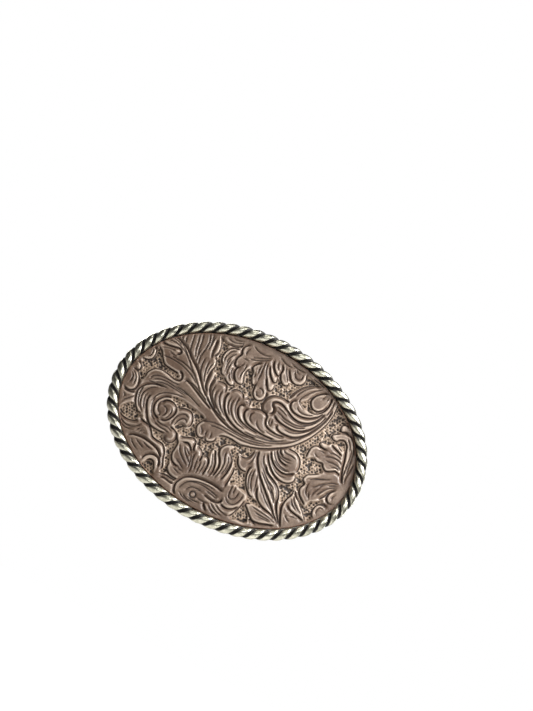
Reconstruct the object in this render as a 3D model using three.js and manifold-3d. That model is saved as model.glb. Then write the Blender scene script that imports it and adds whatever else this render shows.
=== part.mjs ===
// Oval belt buckle with a leather inlay inside a rope edge. A hinged bail on the back holds one
// end of the belt, and a hook holds the other end. Millimetres, +Z up; the face looks along -Y.
// The origin is the middle of the back plate's back surface.

import * as THREE from 'three';
import { mergeVertices } from 'three/addons/utils/BufferGeometryUtils.js';
import Module from 'manifold-3d';

const wasm = await Module();
wasm.setup();

// Driving sizes of the face.
const faceHalfLength = 47;
const faceHalfHeight = 34.8;
const bendRadius = 315;
const ropeDiameter = 3.85;

// The layers, from the back plate forward. A thin gap keeps neighbouring bodies apart.
const layerGap = 0.15;
const plateThickness = 1.6;
const rimHeight = 1;
const glueThickness = 0.3;
const leatherThickness = 2.1;
const plateInset = 0.6;
const leatherToRope = 0.3;
const glueInset = 1.1;
const pocketClearance = 0.15;

// Hardware on the back is seated this far off the plate's curved surface.
const seatGap = 0.25;

// The hinge that carries the bail.
const hingeX = 13;
const pinHeight = 3.8;
const pinRadius = 1.2;
const pinHeadRadius = 1.9;
const pinHeadHeight = 1.1;
const runningClearance = 0.05;
const sideClearance = 0.3;
const baseWidth = 11;
const baseThickness = 1;
const earOutside = 19.6;
const earThickness = 1.6;
const earRadius = 2.8;
const rivetSpacing = 18;
const rivetRadius = 1.1;
const rivetHeadRadius = 2.2;

// The bail, a wire loop around a strap 38 mm wide.
const bailWireRadius = 1.5;
const bailReach = 18;
const bailCornerRadius = 3.5;
const strapFlatDepth = 0.2;
const strapFlatLength = 32;
const eyeRadius = 2.9;

// The hook that goes through a hole in the strap.
const hookX = -27;
const hookWireRadius = 1.6;
const hookStraight = 7.2;
const hookBendRadius = 3.4;
const hookBendAngle = THREE.MathUtils.degToRad(68);
const hookTipLength = 1.6;
const padRadius = 4;
const padThickness = 1;
const tenonRadius = 1.2;

const wireSides = 12;

// Materials.
const silver = new THREE.MeshStandardMaterial({ color: '#bdb8ac', roughness: 0.3, metalness: 1 });
const nickel = new THREE.MeshStandardMaterial({ color: '#a5a29a', roughness: 0.4, metalness: 1 });
const steel = new THREE.MeshStandardMaterial({ color: '#8f8e8a', roughness: 0.35, metalness: 1 });
const brass = new THREE.MeshStandardMaterial({ color: '#b08d4a', roughness: 0.4, metalness: 1 });
const leather = new THREE.MeshStandardMaterial({ color: '#7b6451', roughness: 0.65, metalness: 0 });
const glue = new THREE.MeshStandardMaterial({ color: '#c9ad74', roughness: 0.5, metalness: 0 });

// How far the bend takes the plate back at a distance x from the middle.
function bendBack(x) {
  return bendRadius - Math.sqrt(bendRadius ** 2 - x ** 2);
}

function bend(geometry) {
  const position = geometry.attributes.position;
  for (let i = 0; i < position.count; i += 1) {
    position.setY(i, position.getY(i) + bendBack(position.getX(i)));
  }
  return geometry;
}

// Joins equal corners and drops the empty triangles that a turned shape has on its axis.
function weld(geometry) {
  geometry.deleteAttribute('normal');
  geometry.deleteAttribute('uv');
  const welded = mergeVertices(geometry, 1e-4);
  const corners = welded.index.array;
  const kept = [];
  for (let i = 0; i < corners.length; i += 3) {
    const [a, b, c] = corners.slice(i, i + 3);
    if (a !== b && b !== c && c !== a) {
      kept.push(a, b, c);
    }
  }
  welded.setIndex(kept);
  return welded;
}

function toManifold(geometry) {
  const welded = weld(geometry);
  return new wasm.Manifold(
    new wasm.Mesh({
      numProp: 3,
      vertProperties: Float32Array.from(welded.attributes.position.array),
      triVerts: Uint32Array.from(welded.index.array),
    }),
  );
}

function fromManifold(solid) {
  const mesh = solid.getMesh();
  const geometry = new THREE.BufferGeometry();
  geometry.setAttribute('position', new THREE.BufferAttribute(mesh.vertProperties, 3));
  geometry.setIndex(new THREE.BufferAttribute(mesh.triVerts, 1));
  return geometry;
}

function part(name, geometry, material) {
  const welded = weld(geometry);
  welded.computeVertexNormals();
  const mesh = new THREE.Mesh(welded, material);
  mesh.name = name;
  return mesh;
}

// A body turned around Y from [radius, y] pairs, listed from the front to the back.
function turned(profile, sides) {
  const points = profile.map(([radius, y]) => new THREE.Vector2(radius, y));
  return new THREE.LatheGeometry(points, sides);
}

// An oval sheet with softened edges that follows the bend of the face.
function ovalSheet(halfLength, halfHeight, front, back, edge) {
  const rings = [0.3, 0.55, 0.78];
  const lip = 1 - edge / halfLength;
  const profile = [
    [0, front],
    ...rings.map((ring) => [ring, front]),
    [lip, front],
    [1, front + edge],
    [1, back - edge],
    [lip, back],
    ...rings.toReversed().map((ring) => [ring, back]),
    [0, back],
  ];
  return bend(turned(profile, 80).scale(halfLength, 1, halfHeight));
}

// A group whose origin lies on the plate's back at x and whose X axis follows the plate there.
function placeOnBack(x) {
  const place = new THREE.Group();
  place.position.set(x, bendBack(x), 0);
  place.rotation.z = Math.asin(x / bendRadius);
  place.updateMatrix();
  return place;
}

function wire(path, radius, steps) {
  const section = new THREE.Shape().absarc(0, 0, radius, 0, 2 * Math.PI);
  return new THREE.ExtrudeGeometry(section, { extrudePath: path, steps, curveSegments: wireSides / 2 });
}

// A cylinder along Y between two heights.
function post(radius, from, to, sides = 24) {
  const cylinder = new THREE.CylinderGeometry(radius, radius, to - from, sides);
  return cylinder.translate(0, (from + to) / 2, 0);
}

// A cylinder along Z centred at a height z on the hinge axis.
function axisDisc(radius, width, z) {
  const disc = new THREE.CylinderGeometry(radius, radius, width, 32).rotateX(Math.PI / 2);
  return disc.translate(0, pinHeight, z);
}

// Rivet holes pass the rivet with a little clearance and widen at the front for its flush head.
const flushHeadHeight = 0.7;
const flushHeadRadius = 1.8;

function rivetHole(radius) {
  const wide = flushHeadRadius + runningClearance;
  const narrow = radius + runningClearance;
  const profile = [
    [0, -plateThickness - 1],
    [wide, -plateThickness - 1],
    [wide, -plateThickness],
    [narrow, -plateThickness + flushHeadHeight],
    [narrow, 4],
    [0, 4],
  ];
  return turned(profile, 24);
}

// A flush countersunk head in the plate's front, then a shank.
function flushHead(radius) {
  return [
    [0, -plateThickness + 0.02],
    [flushHeadRadius - 0.06, -plateThickness + 0.02],
    [radius, -plateThickness + flushHeadHeight],
  ];
}

const hinge = placeOnBack(hingeX);
const hookPlace = placeOnBack(hookX);

// The plate has a raised rim under the rope edge, so its middle is a shallow pocket for the inlay.
function makeBackPlate() {
  const halfLength = faceHalfLength - plateInset;
  const halfHeight = faceHalfHeight - plateInset;
  const rimFront = -plateThickness - rimHeight;
  const pocketInset = ropeDiameter + leatherToRope - pocketClearance;
  const pocket = ovalSheet(
    faceHalfLength - pocketInset,
    faceHalfHeight - pocketInset,
    rimFront - 1,
    -plateThickness,
    0.1,
  );
  let plate = toManifold(ovalSheet(halfLength, halfHeight, rimFront, 0, 0.35));
  plate = plate.subtract(toManifold(pocket));
  for (const side of [-1, 1]) {
    const hole = rivetHole(rivetRadius).translate(0, 0, (side * rivetSpacing) / 2);
    plate = plate.subtract(toManifold(hole.applyMatrix4(hinge.matrix)));
  }
  const hookHole = rivetHole(tenonRadius).applyMatrix4(hookPlace.matrix);
  return part('back_plate', fromManifold(plate.subtract(toManifold(hookHole))), nickel);
}

const glueBack = -plateThickness - layerGap;
const leatherBack = glueBack - glueThickness - layerGap;

function makeAdhesiveFilm() {
  const inset = ropeDiameter + glueInset;
  const sheet = ovalSheet(
    faceHalfLength - inset,
    faceHalfHeight - inset,
    glueBack - glueThickness,
    glueBack,
    0.1,
  );
  return part('adhesive_film', sheet, glue);
}

function makeLeatherInlay() {
  const inset = ropeDiameter + leatherToRope;
  const sheet = ovalSheet(
    faceHalfLength - inset,
    faceHalfHeight - inset,
    leatherBack - leatherThickness,
    leatherBack,
    0.5,
  );
  return part('leather_inlay', sheet, leather);
}

// The rope edge is a ring of round section that lies on the plate's rim.
function makeRopeEdge() {
  const radius = ropeDiameter / 2;
  const ring = new THREE.TorusGeometry(faceHalfLength, radius, wireSides, 112);
  const position = ring.attributes.position;
  for (let i = 0; i < position.count; i += 1) {
    const x = position.getX(i);
    const z = position.getY(i);
    const turn = Math.atan2(z, x);
    const outward = Math.hypot(x, z) - faceHalfLength;
    const normal = new THREE.Vector2(
      Math.cos(turn) * (faceHalfHeight - radius),
      Math.sin(turn) * (faceHalfLength - radius),
    ).normalize();
    position.setXYZ(
      i,
      (faceHalfLength - radius) * Math.cos(turn) + outward * normal.x,
      -plateThickness - rimHeight - layerGap - radius - position.getZ(i),
      (faceHalfHeight - radius) * Math.sin(turn) + outward * normal.y,
    );
  }
  return part('rope_edge', bend(ring), silver);
}

// The ear is a plate with a round top around the pin.
function ear(side) {
  const outline = new THREE.Shape();
  outline.moveTo(-earRadius - 1.2, seatGap + baseThickness / 2);
  outline.lineTo(earRadius + 1.2, seatGap + baseThickness / 2);
  outline.lineTo(earRadius, pinHeight);
  outline.absarc(0, pinHeight, earRadius, 0, Math.PI);
  const body = new THREE.ExtrudeGeometry(outline, {
    depth: earThickness,
    bevelEnabled: false,
    curveSegments: 12,
  });
  const inside = side > 0 ? earOutside - earThickness : -earOutside;
  return toManifold(body.translate(0, 0, inside));
}

function makeHingeBracket() {
  const base = new THREE.BoxGeometry(baseWidth, baseThickness, 2 * earOutside);
  let bracket = toManifold(base.translate(0, seatGap + baseThickness / 2, 0));
  bracket = bracket.add(ear(-1)).add(ear(1));
  bracket = bracket.subtract(toManifold(axisDisc(pinRadius + runningClearance, 60, 0)));
  for (const side of [-1, 1]) {
    const hole = post(rivetRadius + runningClearance, -1, 4).translate(0, 0, (side * rivetSpacing) / 2);
    bracket = bracket.subtract(toManifold(hole));
  }
  return part('hinge_bracket', fromManifold(bracket), nickel);
}

const bailWidth = 2 * (earOutside + sideClearance) + 2 * bailWireRadius;
const eyeOutside = bailWidth / 2 + bailWireRadius;

function makeHingePin() {
  const headStart = eyeOutside + sideClearance;
  const profile = [
    [0, -headStart - pinHeadHeight],
    [pinHeadRadius * 0.6, -headStart - pinHeadHeight],
    [pinHeadRadius, -headStart - pinHeadHeight / 2],
    [pinHeadRadius, -headStart],
    [pinRadius, -headStart],
    [pinRadius, headStart],
    [pinHeadRadius, headStart],
    [pinHeadRadius, headStart + pinHeadHeight / 2],
    [pinHeadRadius * 0.6, headStart + pinHeadHeight],
    [0, headStart + pinHeadHeight],
  ];
  const pin = turned(profile, 32).rotateX(Math.PI / 2).translate(0, pinHeight, 0);
  return part('hinge_pin', pin, steel);
}

// One piece of wire: an eye at each end, two arms and the bar that the strap folds around, which
// has a flat along its inner side.
function makeBail() {
  const armZ = bailWidth / 2;
  const cornerX = bailReach - bailCornerRadius;
  const cornerZ = armZ - bailCornerRadius;
  const armStart = 2;
  const at = (x, z) => new THREE.Vector3(x, pinHeight, z);
  const path = new THREE.CurvePath();
  path.add(new THREE.LineCurve3(at(armStart, -armZ), at(cornerX, -armZ)));
  path.add(new THREE.QuadraticBezierCurve3(at(cornerX, -armZ), at(bailReach, -armZ), at(bailReach, -cornerZ)));
  path.add(new THREE.LineCurve3(at(bailReach, -cornerZ), at(bailReach, cornerZ)));
  path.add(new THREE.QuadraticBezierCurve3(at(bailReach, cornerZ), at(bailReach, armZ), at(cornerX, armZ)));
  path.add(new THREE.LineCurve3(at(cornerX, armZ), at(armStart, armZ)));
  let bail = toManifold(wire(path, bailWireRadius, 52));
  for (const side of [-1, 1]) {
    bail = bail.add(toManifold(axisDisc(eyeRadius, 2 * bailWireRadius, side * armZ)));
  }
  bail = bail.subtract(toManifold(axisDisc(pinRadius + runningClearance, 60, 0)));
  const flat = new THREE.BoxGeometry(4, 4, strapFlatLength);
  flat.translate(bailReach - bailWireRadius + strapFlatDepth - 2, pinHeight, 0);
  return part('bail', fromManifold(bail.subtract(toManifold(flat))), nickel);
}

function makeHingeRivet(name, side) {
  const headStart = seatGap + baseThickness + runningClearance;
  const profile = [
    ...flushHead(rivetRadius),
    [rivetRadius, headStart],
    [rivetHeadRadius, headStart],
    [rivetHeadRadius * 0.85, headStart + 0.7],
    [rivetHeadRadius * 0.45, headStart + 1.1],
    [0, headStart + 1.2],
  ];
  const rivet = part(name, turned(profile, 24), brass);
  rivet.position.z = (side * rivetSpacing) / 2;
  return rivet;
}

function makeHookPad() {
  const outer = post(padRadius, seatGap, seatGap + padThickness, 36);
  const hole = post(tenonRadius + runningClearance, -1, 4);
  const pad = toManifold(outer).subtract(toManifold(hole));
  return part('hook_pad', fromManifold(pad), nickel);
}

// The hook leans towards the bail, so the pull of the belt draws the strap down to the plate.
function makeHook() {
  const start = seatGap + padThickness + runningClearance;
  const bendStart = start + hookStraight - hookBendRadius;
  const onBend = (angle) =>
    new THREE.Vector3(hookBendRadius * (1 - Math.cos(angle)), bendStart + hookBendRadius * Math.sin(angle), 0);
  const bendEnd = onBend(hookBendAngle);
  const heading = new THREE.Vector3(Math.sin(hookBendAngle), Math.cos(hookBendAngle), 0);
  const tip = bendEnd.clone().addScaledVector(heading, hookTipLength);
  const route = [new THREE.Vector3(0, start, 0)];
  for (let i = 0; i <= 6; i += 1) {
    route.push(onBend((hookBendAngle * i) / 6));
  }
  route.push(tip);
  const stem = wire(new THREE.CatmullRomCurve3(route, false, 'centripetal'), hookWireRadius, 18);
  const ball = new THREE.SphereGeometry(hookWireRadius * 1.12, 20, 14).translate(tip.x, tip.y, tip.z);
  const tenon = turned([...flushHead(tenonRadius), [tenonRadius, start + 0.3], [0, start + 0.3]], 24);
  const hook = toManifold(stem).add(toManifold(ball)).add(toManifold(tenon));
  return part('hook', fromManifold(hook), steel);
}

const group = new THREE.Group();
group.add(makeBackPlate(), makeAdhesiveFilm(), makeLeatherInlay(), makeRopeEdge());
hinge.add(makeHingeBracket(), makeHingePin(), makeBail());
hinge.add(makeHingeRivet('hinge_rivet_upper', 1), makeHingeRivet('hinge_rivet_lower', -1));
hookPlace.add(makeHookPad(), makeHook());
group.add(hinge, hookPlace);

export default group;
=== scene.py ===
import math

import bpy
import numpy as np
from mathutils import Matrix, Vector


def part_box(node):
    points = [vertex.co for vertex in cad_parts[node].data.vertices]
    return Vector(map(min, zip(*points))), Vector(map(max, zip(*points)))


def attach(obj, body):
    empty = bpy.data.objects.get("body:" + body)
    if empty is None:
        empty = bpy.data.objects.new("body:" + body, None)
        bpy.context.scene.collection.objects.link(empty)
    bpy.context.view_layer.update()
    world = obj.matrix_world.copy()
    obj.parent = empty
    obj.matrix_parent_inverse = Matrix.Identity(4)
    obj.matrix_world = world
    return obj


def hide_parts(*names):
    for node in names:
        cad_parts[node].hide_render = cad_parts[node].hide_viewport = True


# Looks of an oval belt buckle: a twisted rope edge around a floral tooled leather inlay, and the
# metal hardware behind. Blender works in metres; the sizes below are millimetres and are turned
# into metres where they are used. The face looks along -Y, and +X is the oval's long side.

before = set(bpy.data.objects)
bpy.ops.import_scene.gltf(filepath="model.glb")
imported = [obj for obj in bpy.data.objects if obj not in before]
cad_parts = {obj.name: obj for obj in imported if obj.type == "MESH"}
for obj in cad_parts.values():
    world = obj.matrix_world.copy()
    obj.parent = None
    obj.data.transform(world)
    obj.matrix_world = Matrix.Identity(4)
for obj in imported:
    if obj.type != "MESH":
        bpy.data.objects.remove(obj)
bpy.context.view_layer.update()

MM = 0.001

# Sizes that part.mjs drives too.
BEND_RADIUS = 315
ROPE_DIAMETER = 3.85
LEATHER_THICKNESS = 2.1

rope_low, rope_high = [[side / MM for side in corner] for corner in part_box("rope_edge")]
leather_low, leather_high = [[side / MM for side in corner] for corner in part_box("leather_inlay")]

# The rope: two strands that wind this many times round the core on their way round the oval. The
# half turn joins the end of each strand to the start of the other.
ROPE_TURNS = 26.5
ROPE_STRANDS = 2
STEPS_PER_TURN = 26
POINTS_PER_STRAND = 26
GROOVE_DEPTH = 0.5
STRAND_FLATNESS = 2.8
ROPE_PHASE = math.radians(88)
UNEVEN_TWIST = 0.12

# The leather relief.
RELIEF_COLUMNS = 640
RELIEF_ROWS = 470
FIELD_STEP = 0.1
PRESSED_DEPTH = 1.15
PRESSED_WIDTH = 1.4
CUT_DEPTH = 0.7
CUT_WIDTH = 0.45
CORE_WIDTH = 0.19
CUT_TAPER = 1.6
CUT_END = 0.35
PLAIN_CORE = 0.75
GROUND_DEPTH = 0.72
GROUND_WALL = 0.35
PIT_SPACING = 1.04
PIT_RADIUS = 0.38
PIT_DEPTH = 0.6
PIT_SHAKE = 0.2
PIT_SIZES = (0.7, 1.25)
PIT_SEED = 7
SWELLING = 0.05
RIM_RADIUS = 0.3
RIM_SPREAD = 0.15
BACK_BEVEL = 0.3
BACK_RINGS = (1, 0.97, 0.8, 0.6, 0.4, 0.2)
EYE_CENTRE = (-3.8, -28.1)
EYE_RADIUS = 1.05
EYE_CUT_WIDTH = 0.3
HOLLOW_REACH = 0.55

# The camera, in degrees and millimetres. It looks up at the face a little, and is rolled.
CAMERA_AZIMUTH = 0.9
CAMERA_ELEVATION = -12.95
CAMERA_ROLL = 27.4
CAMERA_PLACE = (3.7, -430.4, -70.6)
LENS = 64.1

# The surroundings. The floor's glow is only seen by the camera.
FLOOR_DROP = 160
FLOOR_HALF = 6000
FLOOR_GLOW = 1.1
WORLD_SEEN = 1.0
WORLD_LIGHT = 0.06

# The tooling pattern was drawn on a face with the first half length, and is fitted to the second.
DRAWN_HALF_LENGTH = 44.9
FITTED_HALF_LENGTH = 42.9
pattern_scale = FITTED_HALF_LENGTH / DRAWN_HALF_LENGTH


def bend_back(x):
    """How far the bend of the face takes a point back."""
    return BEND_RADIUS - np.sqrt(BEND_RADIUS**2 - np.square(x))


def smooth_step(low, high, value):
    t = np.clip((value - low) / (high - low), 0, 1)
    return t * t * (3 - 2 * t)


def make_mesh_object(name, points, faces, attributes, material):
    """A smooth mesh object from points in millimetres, with one number per point by attribute."""
    mesh = bpy.data.meshes.new(name)
    mesh.from_pydata((points * MM).tolist(), [], faces)
    for attribute, values in attributes.items():
        layer = mesh.attributes.new(attribute, "FLOAT", "POINT")
        layer.data.foreach_set("value", np.asarray(values, dtype=np.float32))
    mesh.polygons.foreach_set("use_smooth", np.ones(len(mesh.polygons), dtype=bool))
    mesh.materials.append(material)
    mesh.update()
    made = bpy.data.objects.new(name, mesh)
    bpy.context.collection.objects.link(made)
    return made


# ---------------------------------------------------------------- the tooling pattern
#
# Lines listed in millimetres as (x, z) points. They follow the scrolls and leaves of the
# real panel, and the finest veins are partly made up.
# The number before each line says which side is pressed down: 1 the left of the way of travel,
# -1 the right, 0 neither, for a plain cut.

UPPER_FAN = [
    (0, [(-33.6, 22.2), (-33, 20.6), (-32, 19.2)]),
    (0, [(-28.2, 24.9), (-27.4, 22), (-26.8, 19), (-25.6, 16.2)]),
    (0, [(-27, 25.6), (-26.2, 22.5), (-25.8, 19.5), (-25, 17)]),
    (0, [(-34.6, 20.2), (-31.5, 18.4), (-28.6, 15.9), (-25.4, 12.6), (-22, 9.4), (-18.4, 6)]),
    (0, [(-23.6, 27), (-23, 25), (-22.9, 22.6)]),
    (1, [(-36.8, 20.4), (-33.5, 19.6), (-30, 18.1), (-26.5, 15.2), (-22.5, 12.2), (-18.6, 7.9),
         (-15.6, 5.2)]),
    (0, [(-29.8, 24.2), (-29.2, 21), (-28.5, 18), (-26.8, 15.9)]),
    (0, [(-31.9, 22.4), (-31.6, 20.6), (-30.9, 19.2)]),
    (0, [(-24.9, 26.4), (-23.8, 24), (-23.8, 20.5), (-24.2, 17.5), (-23.6, 14.3)]),
    (0, [(-25.2, 20), (-25.2, 17.5), (-24.8, 15)]),
    (0, [(-22.6, 26.3), (-22.6, 23), (-22.8, 20.5)]),
    (0, [(-22.3, 18), (-22.3, 15), (-21.5, 12.3), (-19.4, 9.2)]),
    (1, [(-21.5, 26.2), (-21.2, 23), (-20.9, 20.5), (-20.4, 18.4)]),
    (1, [(-20.9, 28.2), (-19.4, 25), (-18.9, 22.4), (-19.3, 20.8), (-20.1, 19.4)]),
    (1, [(-19.8, 19.4), (-18.4, 19), (-17.8, 16.6), (-18.3, 14), (-18.2, 11), (-17.6, 8.6),
         (-15.9, 6.6)]),
    (0, [(-20.6, 17.5), (-20.3, 14.5), (-19.6, 11.5), (-18.4, 9.2)]),
    (0, [(-19, 17.5), (-19.3, 14.8), (-19, 12.2)]),
]
LEFT_LEAF = [
    (0, [(-33.8, 13.2), (-31.5, 12.8), (-28.5, 12.6), (-25.5, 11.7), (-22.4, 10.2)]),
    (0, [(-35, 14.2), (-33.4, 13.8), (-31.8, 13.6)]),
    (0, [(-23.8, 7.6), (-21.4, 7), (-18, 5.6), (-14.6, 3.8)]),
    (0, [(-27, 3.8), (-23, 3.3), (-19, 2), (-15.4, 0.6)]),
    (-1, [(-40.4, 16.8), (-37, 16.1), (-34, 16.5), (-31.9, 16.8), (-30.9, 15.9), (-31.2, 14.8),
         (-32.6, 14.1)]),
    (0, [(-38.2, 14.3), (-36.2, 15.1), (-34.2, 15.3), (-32.6, 15.2)]),
    (-1, [(-39.3, 14.3), (-37.6, 13.2), (-36, 11), (-34.3, 9.2), (-31.5, 8.6), (-29.2, 8.4),
         (-27.9, 8.1)]),
    (-1, [(-28.6, 9.6), (-27, 8.9), (-26.2, 7.4), (-26.7, 6.1), (-28.4, 5.7), (-30.5, 6.1)]),
    (0, [(-36.3, 11.9), (-33.4, 12), (-29.5, 11.7), (-26.5, 10.8), (-23.6, 9.6), (-20.6, 7.6)]),
    (1, [(-24.9, 6.3), (-24.6, 7.3), (-22.5, 6.6), (-19.5, 5.2), (-16, 3.5), (-12, 1.8)]),
    (0, [(-38.8, 18), (-35.5, 18.1), (-33, 17.8), (-30.5, 16.9), (-28.4, 15.4), (-25.6, 13.3)]),
    (0, [(-36.5, 19.3), (-34, 19), (-31.6, 17.9)]),
    (1, [(-38.3, 1.6), (-38.4, 3.6), (-37, 5.9), (-34.4, 6.8), (-31.4, 6.4), (-28.8, 5.6)]),
    (0, [(-36.6, 1.9), (-36.2, 3.3), (-34.4, 4.4), (-31.5, 4.7), (-28.2, 4.5), (-25.5, 4.6)]),
    (0, [(-35.8, 2.2), (-33.4, 3.4), (-30, 3.7), (-25.6, 3.1), (-21, 2.6)]),
    (0, [(-34.5, 1.8), (-31.5, 2.7), (-27, 2.6), (-22.5, 2.1)]),
    (0, [(-37, 1.1), (-34.5, 1.5), (-31.5, 1.7), (-29, 1.6)]),
]
LEFT_EDGE = [
    (1, [(-41, 13.5), (-39.4, 12.6), (-38.9, 10.6), (-39.5, 8.8), (-41, 7.9), (-42.8, 7.7)]),
    (0, [(-40.6, 12.6), (-40.1, 11.2), (-40.4, 9.6), (-41.6, 8.9)]),
    (1, [(-43.7, 6.3), (-42, 5.5), (-41.3, 4), (-42, 2.9), (-43.8, 3.3)]),
    (1, [(-44, 3), (-41.9, 2.7), (-40.2, 0.6), (-39.4, -1.8), (-39.8, -3.8), (-41.6, -4.9),
         (-43.9, -4.2)]),
    (0, [(-43.8, 1.6), (-42.6, 0.6), (-42.3, -1.2), (-43, -2.7)]),
    (0, [(-43.9, 2.4), (-42, 1.4), (-41, -0.6), (-41, -2.6)]),
    (1, [(-43.6, -5.2), (-41.6, -5.4), (-40, -5.2), (-38.6, -4.6)]),
    (0, [(-38, -5.6), (-39.4, -6.9), (-40.9, -8.4), (-42, -9.4)]),
    (0, [(-43, -6.2), (-42, -7), (-41.9, -8.4)]),
]
SPIRAL = [
    (0, [(-37.2, -1.4), (-37.4, -4), (-36.6, -7), (-35, -9.2)]),
    (0, [(-31.6, -2.9), (-31.6, -5.4), (-30.8, -7.8), (-29.4, -9.8), (-27.6, -10.9)]),
    (0, [(-24.6, -4), (-24, -5.6), (-24.4, -7.6), (-25.6, -8.8)]),
    (-1, [(-30.6, 1.6), (-34, 1), (-36.8, -0.6), (-38.3, -3), (-38, -5.6), (-37, -8), (-35.2, -10.2),
         (-33.4, -10.6)]),
    (0, [(-32.4, 0.6), (-34.8, -0.9), (-36.2, -3.2), (-36.1, -5.8), (-35, -8.4), (-33.4, -10)]),
    (-1, [(-33.3, -2.8), (-33.7, -4.6), (-33.2, -6.6), (-32, -8.8), (-30.6, -11), (-28.6, -12.8),
         (-25.6, -13.3), (-22.6, -13.2)]),
    (0, [(-34.9, -2.6), (-35, -5), (-34.3, -7.2), (-33.2, -9)]),
    (0, [(-22, 1.4), (-26, 0.9), (-29.4, -0.2), (-31.6, -2.3), (-32.3, -5)]),
    (-1, [(-25.8, -0.6), (-28.4, -1.4), (-30.2, -3.4), (-30.6, -5.6), (-29.8, -7.8), (-28.3, -9),
         (-26.8, -9.6)]),
    (0, [(-27.2, -2.4), (-28.8, -3.4), (-29.3, -5), (-28.7, -6.7), (-27.6, -7.4), (-27.4, -8.3),
         (-28.3, -8.6)]),
    (1, [(-26.8, -9.6), (-24.8, -9.2), (-23.3, -7.6), (-22.6, -5.4), (-22.9, -3.4), (-24.3, -2.2),
         (-26, -1.9), (-27.8, -2.4), (-28.9, -4)]),
    (0, [(-28.3, -4.8), (-26.8, -4.7), (-25.7, -5.8), (-25.9, -7.4), (-27, -8.4)]),
    (1, [(-16.6, -8), (-15.7, -6.5), (-15.9, -4.3), (-17.2, -2.4), (-19, -1.9), (-21.2, -2.4),
         (-22.6, -3.6)]),
    (0, [(-22.3, -9.7), (-22, -7), (-20.9, -4.8), (-19.1, -4), (-17.4, -4.8)]),
    (0, [(-21, -9.6), (-20.6, -7.2), (-19.4, -5.6), (-18, -5.7), (-17.5, -6.8)]),
    (1, [(-20.2, -9), (-18.9, -7.7), (-17.3, -7.9), (-16.3, -7.6)]),
    (1, [(-22.6, -13.6), (-21.8, -15.2), (-20.2, -15.7), (-18.7, -14.8), (-18.1, -13.2),
         (-18.7, -11.5), (-20.3, -10.5), (-22.4, -10.2)]),
    (0, [(-28.2, -11.2), (-25.5, -12), (-23, -12.2), (-21.4, -12.9)]),
    (0, [(-28, -10.1), (-25.6, -10.9), (-22.8, -10.9), (-20.4, -11.8)]),
]
LOWER_LEFT = [
    (1, [(-18, -25.6), (-17.8, -24), (-18.8, -21.6), (-19.6, -19), (-21.4, -17), (-23.6, -16.7),
         (-25.8, -16.2), (-27.4, -14.4), (-29, -13.1), (-31.5, -12.6), (-33, -11.9)]),
    (-1, [(-41.4, -12.8), (-39, -14.2), (-36.4, -14.5), (-34.4, -13.9), (-33.4, -12.7)]),
    (0, [(-39.6, -15.2), (-37, -16.4), (-34.6, -16.4), (-32.8, -15.4), (-31.4, -13.9)]),
    (0, [(-38.6, -16.9), (-36, -17.6), (-33.6, -17.2)]),
    (0, [(-32.4, -17), (-31.6, -15.9), (-30.7, -15.2)]),
    (0, [(-31.3, -17.2), (-30.4, -16), (-29.6, -15.4)]),
    (0, [(-30, -17), (-29.2, -16.3), (-28.4, -16)]),
    (1, [(-34.4, -19.8), (-32.2, -18.6), (-29, -18.2), (-25.6, -18.6), (-22.8, -19.4),
         (-20.8, -20.8), (-20, -22.4)]),
    (0, [(-32.4, -20.2), (-30.6, -21.8), (-28.6, -22.9)]),
    (0, [(-30.8, -19.6), (-28.8, -20.6), (-26.6, -21.6)]),
    (0, [(-28.2, -19.4), (-25.8, -20.2), (-24, -20.6)]),
    (1, [(-25.8, -25.2), (-25, -23.2), (-23.2, -22), (-21.2, -22), (-19.8, -23.2), (-19.2, -25.4)]),
    (-1, [(-24.3, -25.2), (-23, -23.8), (-21.6, -23.9), (-20.6, -25.4), (-19.9, -27)]),
]
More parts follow.
